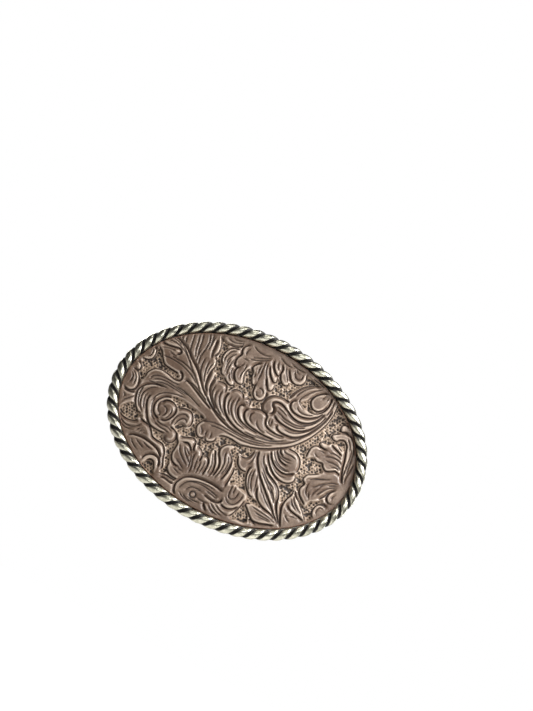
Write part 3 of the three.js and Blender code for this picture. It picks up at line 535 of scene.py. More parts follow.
# Areas between the leaves that are beaten down and stippled, as closed outlines.
STIPPLED_GROUND = [
    [(-39, 13.9), (-36.4, 11.2), (-34.4, 8.9), (-31.5, 8.3), (-28, 8), (-27.2, 7.3), (-28.5, 6.2),
     (-31, 6.7), (-34.3, 7.1), (-37.2, 6.1), (-38.7, 3.8), (-38.6, 1.2), (-39.4, 0.4), (-40.2, 1.6),
     (-41.6, 3), (-40.9, 4.4), (-41.8, 5.8), (-42, 7.4), (-39.6, 8.6), (-38.6, 10.6)],
    [(-26.6, -0.6), (-24, 0.5), (-20, 0), (-16, -0.8), (-12.6, -2), (-14, -5.4), (-13.4, -7.6),
     (-12, -9.2), (-10, -9.2), (-8.4, -9.2), (-6.6, -9), (-5.3, -7.8), (-5, -6), (-3.4, -4.9),
     (-0.6, -4.6), (3, -4.9), (8.4, -3.7), (8.2, -5.6), (7.6, -7.2), (6, -7.8), (4.2, -7.6),
     (4.5, -10), (5.6, -11.8), (7.6, -12.8), (9.6, -12.6), (10.2, -14.8), (11.8, -17.6),
     (14.2, -19.6), (16, -19.3), (17.6, -19.8), (20, -21.2), (16, -21.4), (13.9, -22.5), (15, -24),
     (17, -25.8), (17.4, -28.4), (13.6, -29), (11.4, -29.4), (12.8, -26), (13.9, -21.6), (13, -19.4),
     (10.6, -18.8), (8, -18), (6, -18.6), (5.8, -14), (4.2, -12.2), (3.4, -11), (2.2, -9.4),
     (1, -8.2), (1.6, -6.2), (-1, -6.4), (-2.6, -8.4), (-2.5, -10.6), (-3.6, -10.2), (-4.8, -10.8),
     (-4.6, -13.7), (-6.2, -13.5), (-7.2, -14.4), (-8, -12.7), (-9.4, -11.7), (-10.8, -11.6),
     (-11.2, -10.4), (-12.6, -9.8), (-14.6, -10.3), (-16.4, -11.1), (-18.4, -11), (-20.2, -10.2),
     (-20.4, -9), (-18.9, -7.4), (-17.3, -8.2), (-16.2, -8.2), (-15.3, -6.5), (-15.6, -4.2),
     (-17, -2.1), (-19, -1.6), (-21.2, -2), (-22.6, -3.2), (-24.2, -1.9)],
    [(-20.6, 28.4), (-18.8, 26.7), (-17.2, 26.2), (-16.6, 24.6), (-17.6, 22), (-17, 19.2),
     (-15.8, 17.6), (-15.6, 15.8), (-13.8, 14.8), (-11.8, 13.2), (-9.2, 12.6), (-8.5, 14.6),
     (-6.6, 14.5), (-5.8, 15.9), (-6.8, 18.6), (-6.2, 21.4), (-4.8, 20.6), (-4, 17.6), (-2.4, 16.5),
     (-1.9, 15), (-0.4, 12.8), (1.6, 12.1), (3.2, 13.2), (3.2, 10.6), (1, 9.4), (-0.2, 10.4),
     (-1.4, 12), (-3.4, 12), (-5.8, 13.1), (-8.2, 12.4), (-9.4, 10.6), (-10.1, 11.8), (-11.6, 12.9),
     (-14.8, 12.7), (-15.8, 12.4), (-16.4, 14.8), (-17.6, 14.4), (-17.4, 17), (-18.2, 19.3),
     (-18.6, 22.4), (-19.2, 25.4)],
    [(3.4, 16.6), (4.4, 17.6), (4.8, 19.6), (4.2, 21.2), (4.8, 23), (5.4, 22.8), (7.2, 21.6),
     (8.9, 22.2), (9, 24.2), (10.6, 23.8), (12.8, 24.3), (14, 26), (13.8, 28.9), (17, 28.4),
     (18.8, 27.6), (16, 26.5), (13.6, 24.4), (11.8, 21.6), (10.9, 19), (11, 17.7), (9, 17.9),
     (6, 17.3)],
    [(15.6, 18.8), (18, 17.7), (21.2, 17.8), (23.4, 18.9), (23.6, 19.6), (22.2, 18.7), (20.4, 18.7),
     (18.9, 20.2), (18, 21.4), (17, 20.4)],
    [(28.6, 25), (31.4, 23.6), (34.6, 20.6), (36.4, 18.9), (34.2, 19.8), (32.6, 19), (32.5, 17.4),
     (33.6, 16.4), (30.6, 14), (31.8, 12.5), (33.4, 12.4), (34.4, 13.2), (36, 13.7), (37.2, 12.6),
     (37.8, 10.8), (35.2, 11.6), (32.6, 11.2), (31, 10), (28.4, 10.3), (28, 8.9), (29.4, 8.2),
     (27.4, 8.1), (26, 6.8), (25.7, 4.4), (26, 2.2), (28.8, 3.6), (30.2, 2.6), (32, 2.7), (33.4, 1.2),
     (34, 0.4), (33.2, -0.4), (30.8, -1.8), (28.9, -3.2), (28.3, -5.4), (29.4, -6.4), (28.8, -8.4),
     (29.4, -10.2), (27.8, -9.4), (27.2, -9.8), (27.2, -12), (26.2, -14.6), (25, -16.2), (24, -14.4),
     (22.4, -11.9), (21, -10.4), (23.8, -9.6), (26.2, -8), (26.4, -6), (25.6, -4.8), (26.1, -3),
     (25.7, -0.9), (24.6, 1.2), (22.6, 2.5), (20, 2.7), (19.2, 2.8), (21.9, 5.3), (24.5, 8.8),
     (26.7, 13.2), (28.1, 17.5), (28.6, 21.4)],
    [(29.6, -11), (31.4, -12.4), (33.4, -13.6), (34.4, -11.4), (36.4, -10), (38, -8.4), (38.8, -9.2),
     (37.6, -10.2), (36.4, -12.4), (36.5, -14.8), (37.4, -16.4), (36.2, -17.8), (34.8, -16.4),
     (32.6, -14.2), (30.6, -12.6)],
    [(-41.4, -12.4), (-39.6, -9.4), (-37.6, -8.4), (-36, -9.6), (-34.4, -10.8), (-32.4, -11.4),
     (-33.8, -12.6), (-34.8, -13.9), (-36.4, -14.2), (-39, -13.9)],
    [(-28, -13.4), (-25.4, -13.6), (-22.8, -13.8), (-21.9, -15.5), (-20.2, -16), (-18.5, -15),
     (-17.8, -13.2), (-18.2, -12), (-17.2, -14.2), (-17.2, -18.4), (-16.5, -20.8), (-16.5, -23.4),
     (-15.4, -25.2), (-17.6, -26.2), (-17.4, -24), (-18.4, -21.6), (-19.2, -18.8), (-21.2, -16.6),
     (-23.6, -16.3), (-25.5, -15.8), (-26.8, -14.4)],
    [(-24.9, -26.9), (-23.8, -24.9), (-22.4, -24.2), (-21.4, -24.6), (-20.4, -26.4), (-19.6, -27.8),
     (-20.4, -28.6), (-22.6, -27.8)],
]

# ---------------------------------------------------------------- the height of the leather


def smooth_line(points, closed=False):
    """A Catmull-Rom curve through the pattern's points, as short straight steps."""
    knots = np.array(points, dtype=float) * pattern_scale
    if closed:
        knots = np.vstack([knots[-1:], knots, knots[:2]])
    else:
        knots = np.vstack([2 * knots[0] - knots[1], knots, 2 * knots[-1] - knots[-2]])
    pieces = []
    for before, start, end, after in zip(knots, knots[1:], knots[2:], knots[3:]):
        steps = max(2, int(np.hypot(*(end - start)) / 0.35))
        t = np.linspace(0, 1, steps, endpoint=False)[:, None]
        pieces.append(
            0.5
            * (
                2 * start
                + (end - before) * t
                + (2 * before - 5 * start + 4 * end - after) * t**2
                + (3 * start - before - 3 * end + after) * t**3
            )
        )
    pieces.append(knots[-2:-1])
    return np.vstack(pieces)


class Field:
    """A flat grid of numbers over the leather, in steps of FIELD_STEP."""

    def __init__(self, half_length, half_height):
        self.half_length = half_length
        self.half_height = half_height
        self.x = np.arange(-half_length, half_length + FIELD_STEP, FIELD_STEP)
        self.z = np.arange(-half_height, half_height + FIELD_STEP, FIELD_STEP)
        self.shape = (len(self.z), len(self.x))

    def window(self, points, margin):
        """The part of the grid that lies within a margin of some points."""
        low = (points.min(axis=0) - margin + [self.half_length, self.half_height]) / FIELD_STEP
        high = (points.max(axis=0) + margin + [self.half_length, self.half_height]) / FIELD_STEP
        columns = slice(max(0, int(low[0])), max(0, int(high[0]) + 2))
        rows = slice(max(0, int(low[1])), max(0, int(high[1]) + 2))
        return rows, columns

    def nearest(self, line, reach):
        """For each grid point near the line: distance, side and place along the line."""
        rows, columns = self.window(line, reach)
        grid_x, grid_z = np.meshgrid(self.x[columns], self.z[rows])
        distance = np.full(grid_x.shape, 1e6)
        side = np.zeros(grid_x.shape)
        along = np.zeros(grid_x.shape)
        travelled = 0
        for start, end in zip(line, line[1:]):
            step = end - start
            length = np.hypot(*step)
            if length == 0:
                continue
            step_rows, step_columns = self.window(np.array([start, end]), reach)
            top, left = rows.start, columns.start
            near = (
                slice(step_rows.start - top, step_rows.stop - top),
                slice(step_columns.start - left, step_columns.stop - left),
            )
            from_x = grid_x[near] - start[0]
            from_z = grid_z[near] - start[1]
            t = np.clip((from_x * step[0] + from_z * step[1]) / length**2, 0, 1)
            gap = np.hypot(from_x - t * step[0], from_z - t * step[1])
            closer = gap < distance[near]
            distance[near] = np.where(closer, gap, distance[near])
            side[near] = np.where(closer, np.sign(step[0] * from_z - step[1] * from_x), side[near])
            along[near] = np.where(closer, travelled + t * length, along[near])
            travelled += length
        return (rows, columns), distance, side, along, travelled

    def inside(self, outline):
        """1 for the grid points inside a closed outline."""
        rows, columns = self.window(outline, 0)
        grid_x, grid_z = np.meshgrid(self.x[columns], self.z[rows])
        within = np.zeros(grid_x.shape, dtype=bool)
        for (x0, z0), (x1, z1) in zip(outline, np.roll(outline, -1, axis=0)):
            if z0 == z1:
                continue
            crosses = (z0 > grid_z) != (z1 > grid_z)
            within ^= crosses & (grid_x < x0 + (grid_z - z0) * (x1 - x0) / (z1 - z0))
        filled = np.zeros(self.shape)
        filled[rows, columns] = within
        return filled

    def at(self, values, x, z):
        """The grid's values at any points, by straight interpolation."""
        column = np.clip((x + self.half_length) / FIELD_STEP, 0, self.shape[1] - 1.001)
        row = np.clip((z + self.half_height) / FIELD_STEP, 0, self.shape[0] - 1.001)
        left, low = column.astype(int), row.astype(int)
        right_share, high_share = column - left, row - low
        bottom = values[low, left] * (1 - right_share) + values[low, left + 1] * right_share
        top = values[low + 1, left] * (1 - right_share) + values[low + 1, left + 1] * right_share
        return bottom * (1 - high_share) + top * high_share


def blurred(values, radius):
    """Each number averaged with its neighbours, by three passes of a moving mean."""
    width = max(1, int(round(radius / FIELD_STEP)))
    kernel = np.ones(2 * width + 1) / (2 * width + 1)
    for _ in range(3):
        for axis in (0, 1):
            padded = np.pad(values, [(width, width) if a == axis else (0, 0) for a in (0, 1)], "edge")
            values = np.apply_along_axis(np.convolve, axis, padded, kernel, "valid")
    return values


def soft_noise(shape, size, seed):
    """Smooth random hills from -1 to 1, about this many millimetres across."""
    random = np.random.default_rng(seed)
    values = blurred(random.standard_normal(shape), size / 3)
    return values / np.abs(values).max()


def cut_lines(field):
    """The knife cuts. One side of a pressed cut slopes down to it, as a bevelling tool leaves it."""
    power = np.zeros(field.shape)
    core = np.zeros(field.shape)
    for pressed, points in sum(ALL_CUTS, []):
        line = smooth_line(points)
        window, distance, side, along, length = field.nearest(line, PRESSED_WIDTH + 0.1)
        taper = smooth_step(0, CUT_TAPER, np.minimum(along, length - along) + CUT_END)
        sharp = np.clip(1 - distance / CUT_WIDTH, 0, 1) ** 2
        if pressed:
            slope = np.clip(1 - distance / PRESSED_WIDTH, 0, 1) ** 2
            profile = np.where(side == pressed, slope, sharp) * PRESSED_DEPTH
        else:
            profile = sharp * CUT_DEPTH
        power[window] += (profile * taper) ** 4
        line_core = np.exp(-((distance / CORE_WIDTH) ** 2)) * taper * (1 if pressed else PLAIN_CORE)
        core[window] = np.maximum(core[window], line_core)
    return power**0.25, core


def add_ground(field, depth, core):
    """The stippled ground: beaten down between the leaves, and covered in small pits."""
    ground = np.zeros(field.shape)
    for points in STIPPLED_GROUND:
        outline = smooth_line(points, closed=True)[:-1]
        ground = np.maximum(ground, field.inside(outline))
    soft = blurred(ground, GROUND_WALL / 2)
    random = np.random.default_rng(PIT_SEED)
    pits = np.zeros(field.shape)
    row_height = PIT_SPACING * math.sqrt(3) / 2
    for row, z in enumerate(np.arange(-field.half_height, field.half_height, row_height)):
        for x in np.arange(-field.half_length, field.half_length, PIT_SPACING):
            shift = random.uniform(-PIT_SHAKE, PIT_SHAKE, 2) * PIT_SPACING
            size = random.uniform(*PIT_SIZES)
            middle = np.array([[x + (row % 2) * PIT_SPACING / 2, z]]) + shift
            if field.at(soft, middle[:, 0], middle[:, 1])[0] < 0.35:
                continue
            rows, columns = field.window(middle, 3 * PIT_RADIUS)
            grid_x, grid_z = np.meshgrid(field.x[columns], field.z[rows])
            gap = np.hypot(grid_x - middle[0, 0], grid_z - middle[0, 1]) / (PIT_RADIUS * size)
            pits[rows, columns] += PIT_DEPTH * size * np.exp(-(gap**2))
    pits = np.minimum(pits, PIT_DEPTH) * smooth_step(0.3, 0.9, soft)
    core = np.maximum(core * (1 - 0.7 * smooth_step(0.6, 1, soft)), 0.95 * pits / PIT_DEPTH)
    return np.maximum(depth, GROUND_DEPTH * soft) + pits, core, soft


def add_flower_eye(field, depth, core):
    """The round seed in the lower flower, with a cut round it."""
    middle = np.array(EYE_CENTRE) * pattern_scale
    rows, columns = field.window(middle[None], 2.4)
    grid_x, grid_z = np.meshgrid(field.x[columns], field.z[rows])
    gap = np.hypot(grid_x - middle[0], grid_z - middle[1])
    ring = np.exp(-(((gap - EYE_RADIUS) / EYE_CUT_WIDTH) ** 2))
    depth[rows, columns] = np.maximum(depth[rows, columns] * smooth_step(0, 1, gap), ring * 0.5)
    core[rows, columns] = np.maximum(core[rows, columns] * smooth_step(0, 1, gap), ring * 0.8)


def leather_field():
    """Depth, cut cores, ground, and hollows or ridges over the whole face."""
    field = Field(leather_high[0] + 1, leather_high[2] + 1)
    depth, core = cut_lines(field)
    add_flower_eye(field, depth, core)
    depth, core, ground = add_ground(field, depth, core)
    for size, seed in ((2.4, 3), (9, 4)):
        depth = depth + SWELLING * soft_noise(field.shape, size, seed)
    depth = blurred(depth, 0.05)
    around = blurred(depth, HOLLOW_REACH)
    return field, depth, core, ground, depth - around


def make_leather(material):
    """The tooled leather: a fine relief on top, a rolled rim, and a plain back."""
    field, depth_map, core_map, ground_map, hollow_map = leather_field()
    half_length, half_height = leather_high[0] + RIM_SPREAD, leather_high[2] + RIM_SPREAD
    front = leather_low[1]
    u, v = np.meshgrid(np.linspace(-1, 1, RELIEF_COLUMNS), np.linspace(-1, 1, RELIEF_ROWS))
    x = (u * np.sqrt(1 - v**2 / 2)).ravel() * half_length
    z = (v * np.sqrt(1 - u**2 / 2)).ravel() * half_height
    reach = np.hypot(x / half_length, z / half_height)
    slope = np.hypot(x / half_length**2, z / half_height**2) / np.maximum(reach, 1e-6)
    to_rim = (1 - reach) / np.maximum(slope, 1e-6)
    into_roll = np.clip(RIM_RADIUS - to_rim, 0, RIM_RADIUS)
    roll = RIM_RADIUS - np.sqrt(RIM_RADIUS**2 - into_roll**2)
    depth = field.at(depth_map, x, z) * smooth_step(-0.1, 0.5, to_rim) + roll
    top = np.column_stack([x, front + depth + bend_back(x), z])
    grid = np.arange(RELIEF_COLUMNS * RELIEF_ROWS).reshape(RELIEF_ROWS, RELIEF_COLUMNS)
    quads = np.stack([grid[:-1, :-1], grid[:-1, 1:], grid[1:, 1:], grid[1:, :-1]], axis=-1)
    faces = quads.reshape(-1, 4).tolist()
    rim = np.concatenate([grid[0, :-1], grid[:-1, -1], grid[-1, :0:-1], grid[:0:-1, 0]])
    points = [top]
    ring = rim
    count = len(top)
    back = front + LEATHER_THICKNESS
    for share in BACK_RINGS:
        ring_x, ring_z = x[rim] * share, z[rim] * share
        ring_y = np.full(len(rim), back) - (BACK_BEVEL if share == 1 else 0) + bend_back(ring_x)
        points.append(np.column_stack([ring_x, ring_y, ring_z]))
        next_ring = count + np.arange(len(rim))
        count += len(rim)
        faces += quad_band(ring, next_ring)
        ring = next_ring
    points.append([[0, back, 0]])
    faces += [[a, count, b] for a, b in zip(ring.tolist(), np.roll(ring, -1).tolist())]
    extra = count + 1 - len(top)
    edge = 1 - smooth_step(0.1, 0.45, to_rim)
    attributes = {
        "ground": np.concatenate([field.at(ground_map, x, z), np.zeros(extra)]),
        "hollow": np.concatenate([field.at(hollow_map, x, z) * (1 - edge), np.zeros(extra)]),
        "core": np.concatenate([field.at(core_map, x, z) * (1 - edge), np.zeros(extra)]),
        "edge": np.concatenate([edge, np.ones(extra)]),
    }
    return make_mesh_object("leather_inlay_tooled", np.vstack(points), faces, attributes, material)


def quad_band(ring, next_ring):
    """Faces between two rings of points that run the same way."""
    a, b = np.asarray(ring), np.asarray(next_ring)
    return np.column_stack([a, b, np.roll(b, -1), np.roll(a, -1)]).tolist()


# ---------------------------------------------------------------- the rope edge


def even_oval(half_length, half_height, count):
    """Turning angles that step evenly along an oval."""
    turn = np.linspace(0, 2 * np.pi, 40001)
    steps = np.hypot(np.diff(half_length * np.cos(turn)), np.diff(half_height * np.sin(turn)))
    travelled = np.concatenate([[0], np.cumsum(steps)])
    places = np.arange(count) / count * travelled[-1]
    return np.interp(places, travelled, turn)


def make_rope(material):
    """The strands wind outward going clockwise, seen from the front."""
    radius = ROPE_DIAMETER / 2
    half_length, half_height = rope_high[0] - radius, rope_high[2] - radius
    stations = int(ROPE_TURNS * STEPS_PER_TURN)
    turn = even_oval(half_length, half_height, stations)
    middle_x = half_length * np.cos(turn)
    middle_z = half_height * np.sin(turn)
    out_x, out_z = half_height * np.cos(turn), half_length * np.sin(turn)
    size = np.hypot(out_x, out_z)
    out_x, out_z = out_x / size, out_z / size
    middle_y = rope_low[1] + radius
    wave = even_waves(turn, 5)
    spots = ROPE_STRANDS * POINTS_PER_STRAND
    across = (np.arange(spots) % POINTS_PER_STRAND + 0.5) / POINTS_PER_STRAND * 2 - 1
    across = np.sin(across * np.pi / 2)
    strand = np.arange(spots) // POINTS_PER_STRAND
    around = (strand + (across + 1) / 2) / ROPE_STRANDS * 2 * np.pi
    groove = np.abs(across) ** STRAND_FLATNESS
    points = np.zeros((stations, spots, 3))
    patina = np.zeros((stations, spots))
    for i in range(stations):
        angle = around + ROPE_PHASE + 2 * np.pi * ROPE_TURNS * i / stations + UNEVEN_TWIST * wave[i]
        reach = radius * (1 - GROOVE_DEPTH * groove)
        out = reach * np.cos(angle)
        forward = reach * np.sin(angle)
        points[i, :, 0] = middle_x[i] + out * out_x[i]
        points[i, :, 1] = middle_y - forward
        points[i, :, 2] = middle_z[i] + out * out_z[i]
        # The side that faces the plate stays black, as polishing never reaches it.
        tucked = smooth_step(-0.05, 0.75, -np.sin(angle))
        patina[i] = np.maximum(smooth_step(0.1, 0.42, groove), tucked)
    points[..., 1] += bend_back(np.clip(points[..., 0], -BEND_RADIUS, BEND_RADIUS))
    grid = np.arange(stations * spots).reshape(stations, spots)
    a, b = grid, np.roll(grid, -1, axis=0)
    b_shift, a_shift = np.roll(b, -1, axis=1), np.roll(a, -1, axis=1)
    faces = np.stack([a, b, b_shift, a_shift], axis=-1)
    faces[-1] = close_rope(grid)
    attributes = {"patina": patina.ravel()}
    faces = faces.reshape(-1, 4).tolist()
    return make_mesh_object("rope_edge_strands", points.reshape(-1, 3), faces, attributes, material)


def close_rope(grid):
    """The last band of faces joins the rope's end to its start, half a turn on."""
    a, b = grid[-1], np.roll(grid[0], -POINTS_PER_STRAND)
    return np.stack([a, b, np.roll(b, -1), np.roll(a, -1)], axis=-1)


def even_waves(turn, seed):
    """A small unevenness round the oval, from -1 to 1, that meets itself."""
    random = np.random.default_rng(seed)
    total = np.zeros(len(turn))
    for waves in (3, 5, 8, 13, 21):
        total += np.sin(waves * turn + random.uniform(0, 2 * np.pi)) / math.sqrt(waves)
    return total / np.abs(total).max()


# ---------------------------------------------------------------- materials


class Material:
    """A node material with short ways to add the nodes used here."""

    def __init__(self, name):
        self.material = bpy.data.materials.new(name)
        self.material.use_nodes = True
        self.nodes = self.material.node_tree.nodes
        self.links = self.material.node_tree.links
        self.shader = self.nodes["Principled BSDF"]
        self.place = self.nodes.new("ShaderNodeTexCoord").outputs["Object"]

    def set(self, **values):
        for name, value in values.items():
            self.shader.inputs[name.replace("_", " ")].default_value = value

    def attribute(self, name):
        node = self.nodes.new("ShaderNodeAttribute")
        node.attribute_name = name
        return node.outputs["Fac"]

    def texture(self, kind, per_mm, stretch=(1, 1, 1)):
        """A texture node with this many of its units in a millimetre."""
        scale = self.nodes.new("ShaderNodeMapping")
        scale.inputs["Scale"].default_value = [per_mm / MM * s for s in stretch]
        self.links.new(self.place, scale.inputs["Vector"])
        node = self.nodes.new(kind)
        node.inputs["Scale"].default_value = 1
        self.links.new(scale.outputs["Vector"], node.inputs["Vector"])
        return node

    def noise(self, per_mm, detail=4, roughness=0.55, stretch=(1, 1, 1)):
        node = self.texture("ShaderNodeTexNoise", per_mm, stretch)
        node.inputs["Detail"].default_value = detail
        node.inputs["Roughness"].default_value = roughness
        return node.outputs["Fac"]

    def creases(self, per_mm):
        node = self.texture("ShaderNodeTexVoronoi", per_mm)
        node.feature = "DISTANCE_TO_EDGE"
        return node.outputs["Distance"]

    def span(self, value, low, high, to_low=0.0, to_high=1.0):
        node = self.nodes.new("ShaderNodeMapRange")
        node.interpolation_type = "SMOOTHSTEP"
        for socket, number in zip(list(node.inputs)[1:5], (low, high, to_low, to_high)):
            socket.default_value = number
        self.links.new(value, node.inputs[0])
        return node.outputs[0]

    def math(self, how, first, second):
        node = self.nodes.new("ShaderNodeMath")
        node.operation = how
        for socket, value in zip(node.inputs, (first, second)):
            if isinstance(value, (int, float)):
                socket.default_value = value
            else:
                self.links.new(value, socket)
        return node.outputs[0]

    def mix(self, share, first, second):
        """A colour between two, each a colour or a socket."""
        node = self.nodes.new("ShaderNodeMix")
        node.data_type = "RGBA"
        self.links.new(share, node.inputs["Factor"])
        for socket, value in ((node.inputs[6], first), (node.inputs[7], second)):
            if isinstance(value, tuple):
                socket.default_value = (*value, 1)
            else:
                self.links.new(value, socket)
        return node.outputs[2]

    def bump(self, height, distance_mm, strength=1.0, after=None):
        node = self.nodes.new("ShaderNodeBump")
        node.inputs["Strength"].default_value = strength
        node.inputs["Distance"].default_value = distance_mm * MM
        self.links.new(height, node.inputs["Height"])
        if after is not None:
            self.links.new(after, node.inputs["Normal"])
        return node.outputs["Normal"]

    def join(self, socket, name):
        self.links.new(socket, self.shader.inputs[name])


def colour(text):
    """A linear colour from six hexadecimal digits of a screen colour."""
    parts = [int(text[i : i + 2], 16) / 255 for i in (0, 2, 4)]
    return tuple(p / 12.92 if p <= 0.04045 else ((p + 0.055) / 1.055) ** 2.4 for p in parts)


def tooled_leather():
    """Waxed taupe leather with dark stain left in the cuts, ridges painted paler as polish and
    painted highlight, and hollows painted darker as stain and painted shade.
    """
    m = Material("tooled_leather_look")
    m.set(Specular_IOR_Level=0.5, Coat_Weight=0.1, Coat_Roughness=0.3)
    hollow = m.attribute("hollow")
    core = m.attribute("core")
    ground = m.attribute("ground")
    edge = m.attribute("edge")
    cloudy = m.noise(0.12, 5, 0.6)
    mottled = m.noise(1.3, 6, 0.7)
    fine = m.noise(3.2, 6, 0.65)
    skin = m.mix(m.span(cloudy, 0.35, 0.68), colour("5A4638"), colour("776557"))
    skin = m.mix(m.math("MULTIPLY", m.span(mottled, 0.4, 0.62), 0.45), skin, colour("453326"))
    skin = m.mix(m.math("MULTIPLY", ground, 0.7), skin, colour("9F8A76"))
    # Raised ridges are painted paler: partly polished leather, partly a painted highlight.
    ridge_polish_and_highlight = m.span(m.math("MULTIPLY", hollow, -1), 0.1, 0.28)
    skin = m.mix(m.math("MULTIPLY", ridge_polish_and_highlight, 0.75), skin, colour("BBAA9B"))
    # Hollows are painted darker: partly antique stain, partly painted shade.
    valley_stain_and_shade = m.span(hollow, 0.04, 0.42)
    skin = m.mix(m.math("MULTIPLY", valley_stain_and_shade, 0.6), skin, colour("402719"))
    uneven = m.math("ADD", core, m.math("MULTIPLY", m.math("SUBTRACT", fine, 0.5), 0.5))
    stain = m.span(uneven, 0.3, 0.66)
    skin = m.mix(m.math("MULTIPLY", stain, 0.93), skin, colour("1A0E09"))
    skin = m.mix(m.math("MULTIPLY", edge, 0.8), skin, colour("6B4634"))
    m.join(skin, "Base Color")
    rough = m.math("ADD", hollow, m.math("MULTIPLY", fine, 0.3))
    m.join(m.span(rough, -0.1, 0.35, 0.3, 0.7), "Roughness")
    creases = m.bump(m.creases(2.6), 0.035, 0.5)
    m.join(m.bump(fine, 0.06, 0.6, after=creases), "Normal")
    return m.material


def antiqued_silver():
    """Polished silver strands with black oxide left in the grooves."""
    m = Material("antiqued_silver_look")
    patina = m.attribute("patina")
    smudge = m.noise(0.7, 5, 0.6)
    fine = m.noise(4.5, 5, 0.7)
    bright = m.mix(m.span(smudge, 0.35, 0.65), colour("D8D6C6"), colour("B4B3A1"))
    uneven = m.math("ADD", patina, m.math("MULTIPLY", m.math("SUBTRACT", fine, 0.5), 0.35))
    black = m.span(uneven, 0.25, 0.6)
    m.join(m.mix(black, bright, colour("100D0B")), "Base Color")
    m.join(m.span(black, 0, 1, 1.0, 0.15), "Metallic")
    worn = m.math("ADD", m.span(smudge, 0.3, 0.7, 0.25, 0.36), m.math("MULTIPLY", black, 0.35))
    m.join(worn, "Roughness")
    dents = m.bump(m.noise(0.9, 3, 0.5), 0.1, 0.25)
    m.join(m.bump(fine, 0.03, 0.25, after=dents), "Normal")
    return m.material


def worn_metal(name, light, dark, smooth, rough, stretch):
    """Plated or drawn metal: fine lines one way, cloudy wear, and dull spots."""
    m = Material(name)
    m.set(Metallic=1.0)
    cloudy = m.noise(0.22, 6, 0.6)
    lines = m.noise(1.1, 4, 0.6, stretch)
    spots = m.span(m.noise(1.4, 3, 0.7), 0.66, 0.74)
    base = m.mix(m.span(cloudy, 0.36, 0.66), colour(light), colour(dark))
    base = m.mix(m.math("MULTIPLY", spots, 0.5), base, colour("4E4A44"))
    m.join(base, "Base Color")
    worn = m.span(cloudy, 0.3, 0.7, smooth, rough)
    m.join(m.math("ADD", worn, m.math("MULTIPLY", spots, 0.2)), "Roughness")
    m.join(m.bump(lines, 0.03, 0.5), "Normal")
    return m.material


def contact_cement():
    """Dried glue: amber, cloudy, with brush ridges."""
    m = Material("contact_cement_look")
    m.set(Specular_IOR_Level=0.4)
    cloudy = m.noise(0.5, 4, 0.6)
    m.join(m.mix(m.span(cloudy, 0.35, 0.65), colour("C9AD74"), colour("A98A52")), "Base Color")
    m.join(m.span(cloudy, 0.3, 0.7, 0.35, 0.6), "Roughness")
    m.join(m.bump(m.noise(0.8, 4, 0.6, (1, 1, 5)), 0.08, 0.6), "Normal")
    return m.material


def dress_hardware():
    """Materials for the CAD parts that stay as they are."""
    plate = worn_metal("nickel_plate_look", "ACA89D", "9F9B91", 0.3, 0.4, (0.12, 1, 6))
    wire = worn_metal("nickel_wire_look", "BDB9AD", "A19D93", 0.24, 0.4, (0.3, 5, 1))
    steel = worn_metal("steel_wire_look", "A3A19B", "85827C", 0.22, 0.38, (5, 0.4, 5))
    brass = worn_metal("brass_rivet_look", "C2A25E", "9A7B3F", 0.26, 0.46, (3, 3, 3))
    looks = {
        "back_plate": plate,
        "hinge_bracket": plate,
        "hook_pad": plate,
        "bail": wire,
        "hinge_pin": steel,
        "hook": steel,
        "hinge_rivet_upper": brass,
        "hinge_rivet_lower": brass,
        "adhesive_film": contact_cement(),
    }
    for node, look in looks.items():
        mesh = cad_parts[node].data
        mesh.materials.clear()
        mesh.materials.append(look)


# ---------------------------------------------------------------- camera, floor and light


def level_axes(azimuth, elevation):
    """Right, up and back of a level camera that looks at the object from there."""
    a, e = math.radians(azimuth), math.radians(elevation)
    back = Vector((math.sin(a) * math.cos(e), -math.cos(a) * math.cos(e), math.sin(e)))
    right = Vector((math.cos(a), math.sin(a), 0))
    return right, back.cross(right), back


def make_camera():
    """Makes the camera, and gives its right, up and back."""
    right, up, back = level_axes(CAMERA_AZIMUTH, CAMERA_ELEVATION)
    roll = math.radians(CAMERA_ROLL)
    rolled_right = math.cos(roll) * right + math.sin(roll) * up
    rolled_up = back.cross(rolled_right)
    camera = bpy.data.objects.new("camera", bpy.data.cameras.new("camera"))
    turned = Matrix((rolled_right, rolled_up, back)).transposed().to_4x4()
    camera.matrix_world = Matrix.Translation(Vector(CAMERA_PLACE) * MM) @ turned
    camera.data.lens = LENS
    camera.data.sensor_width = 36
    camera.data.clip_start = 0.01
    bpy.context.collection.objects.link(camera)
    bpy.context.scene.camera = camera
    return rolled_right, rolled_up, back


def make_floor():
    """A wide pale floor, well below the object."""
    height, half = -FLOOR_DROP * MM, FLOOR_HALF * MM
    mesh = bpy.data.meshes.new("floor")
    corners = [(x * half, y * half, height) for x, y in ((-1, -1), (1, -1), (1, 1), (-1, 1))]
    mesh.from_pydata(corners, [], [(0, 1, 2, 3)])
    floor = bpy.data.objects.new("floor", mesh)
    bpy.context.collection.objects.link(floor)
    m = Material("pale_floor")
    tone = m.mix(m.span(m.noise(0.004, 3), 0.3, 0.7), colour("F4F3F1"), colour("EFEEEC"))
    m.join(tone, "Base Color")
    m.set(Roughness=0.9, Specular_IOR_Level=0.1, Emission_Color=(1, 1, 1, 1))
    seen = m.nodes.new("ShaderNodeLightPath").outputs["Is Camera Ray"]
    m.join(m.math("MULTIPLY", seen, FLOOR_GLOW), "Emission Strength")
    mesh.materials.append(m.material)


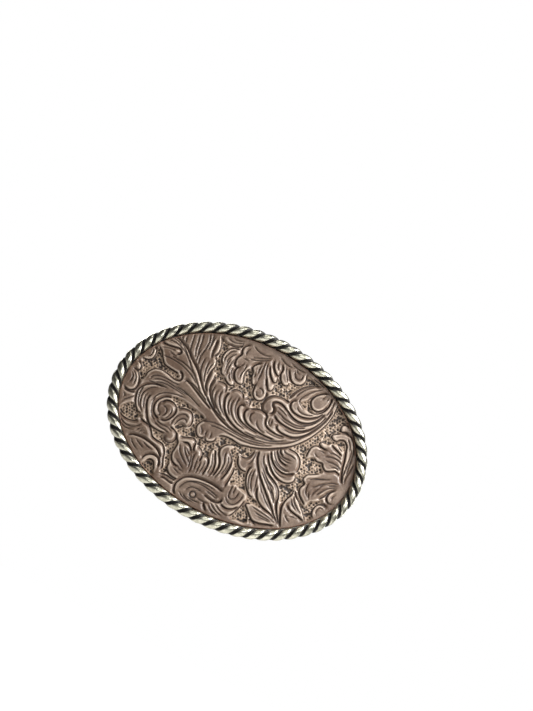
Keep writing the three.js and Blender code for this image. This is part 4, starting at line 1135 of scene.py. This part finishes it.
def make_world():
    """A pale backdrop; what lights the object is dimmer than what the camera sees."""
    world = bpy.data.worlds.new("studio")
    bpy.context.scene.world = world
    world.use_nodes = True
    nodes, links = world.node_tree.nodes, world.node_tree.links
    nodes.clear()
    seen = nodes.new("ShaderNodeBackground")
    seen.inputs["Color"].default_value = (1, 1, 1, 1)
    seen.inputs["Strength"].default_value = WORLD_SEEN
    light = nodes.new("ShaderNodeBackground")
    light.inputs["Color"].default_value = (1, 0.98, 0.95, 1)
    light.inputs["Strength"].default_value = WORLD_LIGHT
    path = nodes.new("ShaderNodeLightPath")
    choose = nodes.new("ShaderNodeMixShader")
    out = nodes.new("ShaderNodeOutputWorld")
    links.new(path.outputs["Is Camera Ray"], choose.inputs[0])
    links.new(light.outputs[0], choose.inputs[1])
    links.new(seen.outputs[0], choose.inputs[2])
    links.new(choose.outputs[0], out.inputs["Surface"])


def softbox(name, position, width, height, power, tint):
    """A rectangular light aimed at the middle of the object. Position and size in millimetres."""
    data = bpy.data.lights.new(name, "AREA")
    data.shape = "RECTANGLE"
    data.size = width * MM
    data.size_y = height * MM
    data.energy = power
    data.color = tint
    lamp = bpy.data.objects.new(name, data)
    place = Vector(position) * MM
    lamp.location = place
    lamp.rotation_mode = "QUATERNION"
    lamp.rotation_quaternion = (-place).to_track_quat("-Z", "Y")
    lamp.visible_camera = False
    bpy.context.collection.objects.link(lamp)


def make_lights(right, up, back):
    """Soft light mostly from the right of the picture, and two lights for the back."""

    def spot(across, high, near):
        return right * across + up * high + back * near

    softbox("key", spot(310, 100, 120), 130, 240, 2.05, (1, 0.99, 0.97))
    softbox("top", spot(120, 480, 160), 260, 110, 0.45, (1, 0.98, 0.95))
    softbox("fill", spot(-480, -120, 160), 90, 300, 0.15, (1, 0.93, 0.82))
    softbox("front", spot(170, 190, 450), 200, 200, 0.6, (1, 1, 0.99))
    softbox("side_card", spot(140, 50, 30), 70, 150, 0.16, (1, 1, 0.99))
    softbox("rear", (-260, 460, 320), 320, 320, 2.4, (1, 0.99, 0.97))
    softbox("rear_fill", (420, 360, 40), 160, 320, 0.8, (0.97, 0.98, 1))


# ---------------------------------------------------------------- build

leather = make_leather(tooled_leather())
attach(leather, "buckle")
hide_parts("leather_inlay")

rope = make_rope(antiqued_silver())
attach(rope, "buckle")
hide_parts("rope_edge")

dress_hardware()
make_lights(*make_camera())
make_floor()
make_world()
bpy.context.scene.view_settings.view_transform = "Standard"
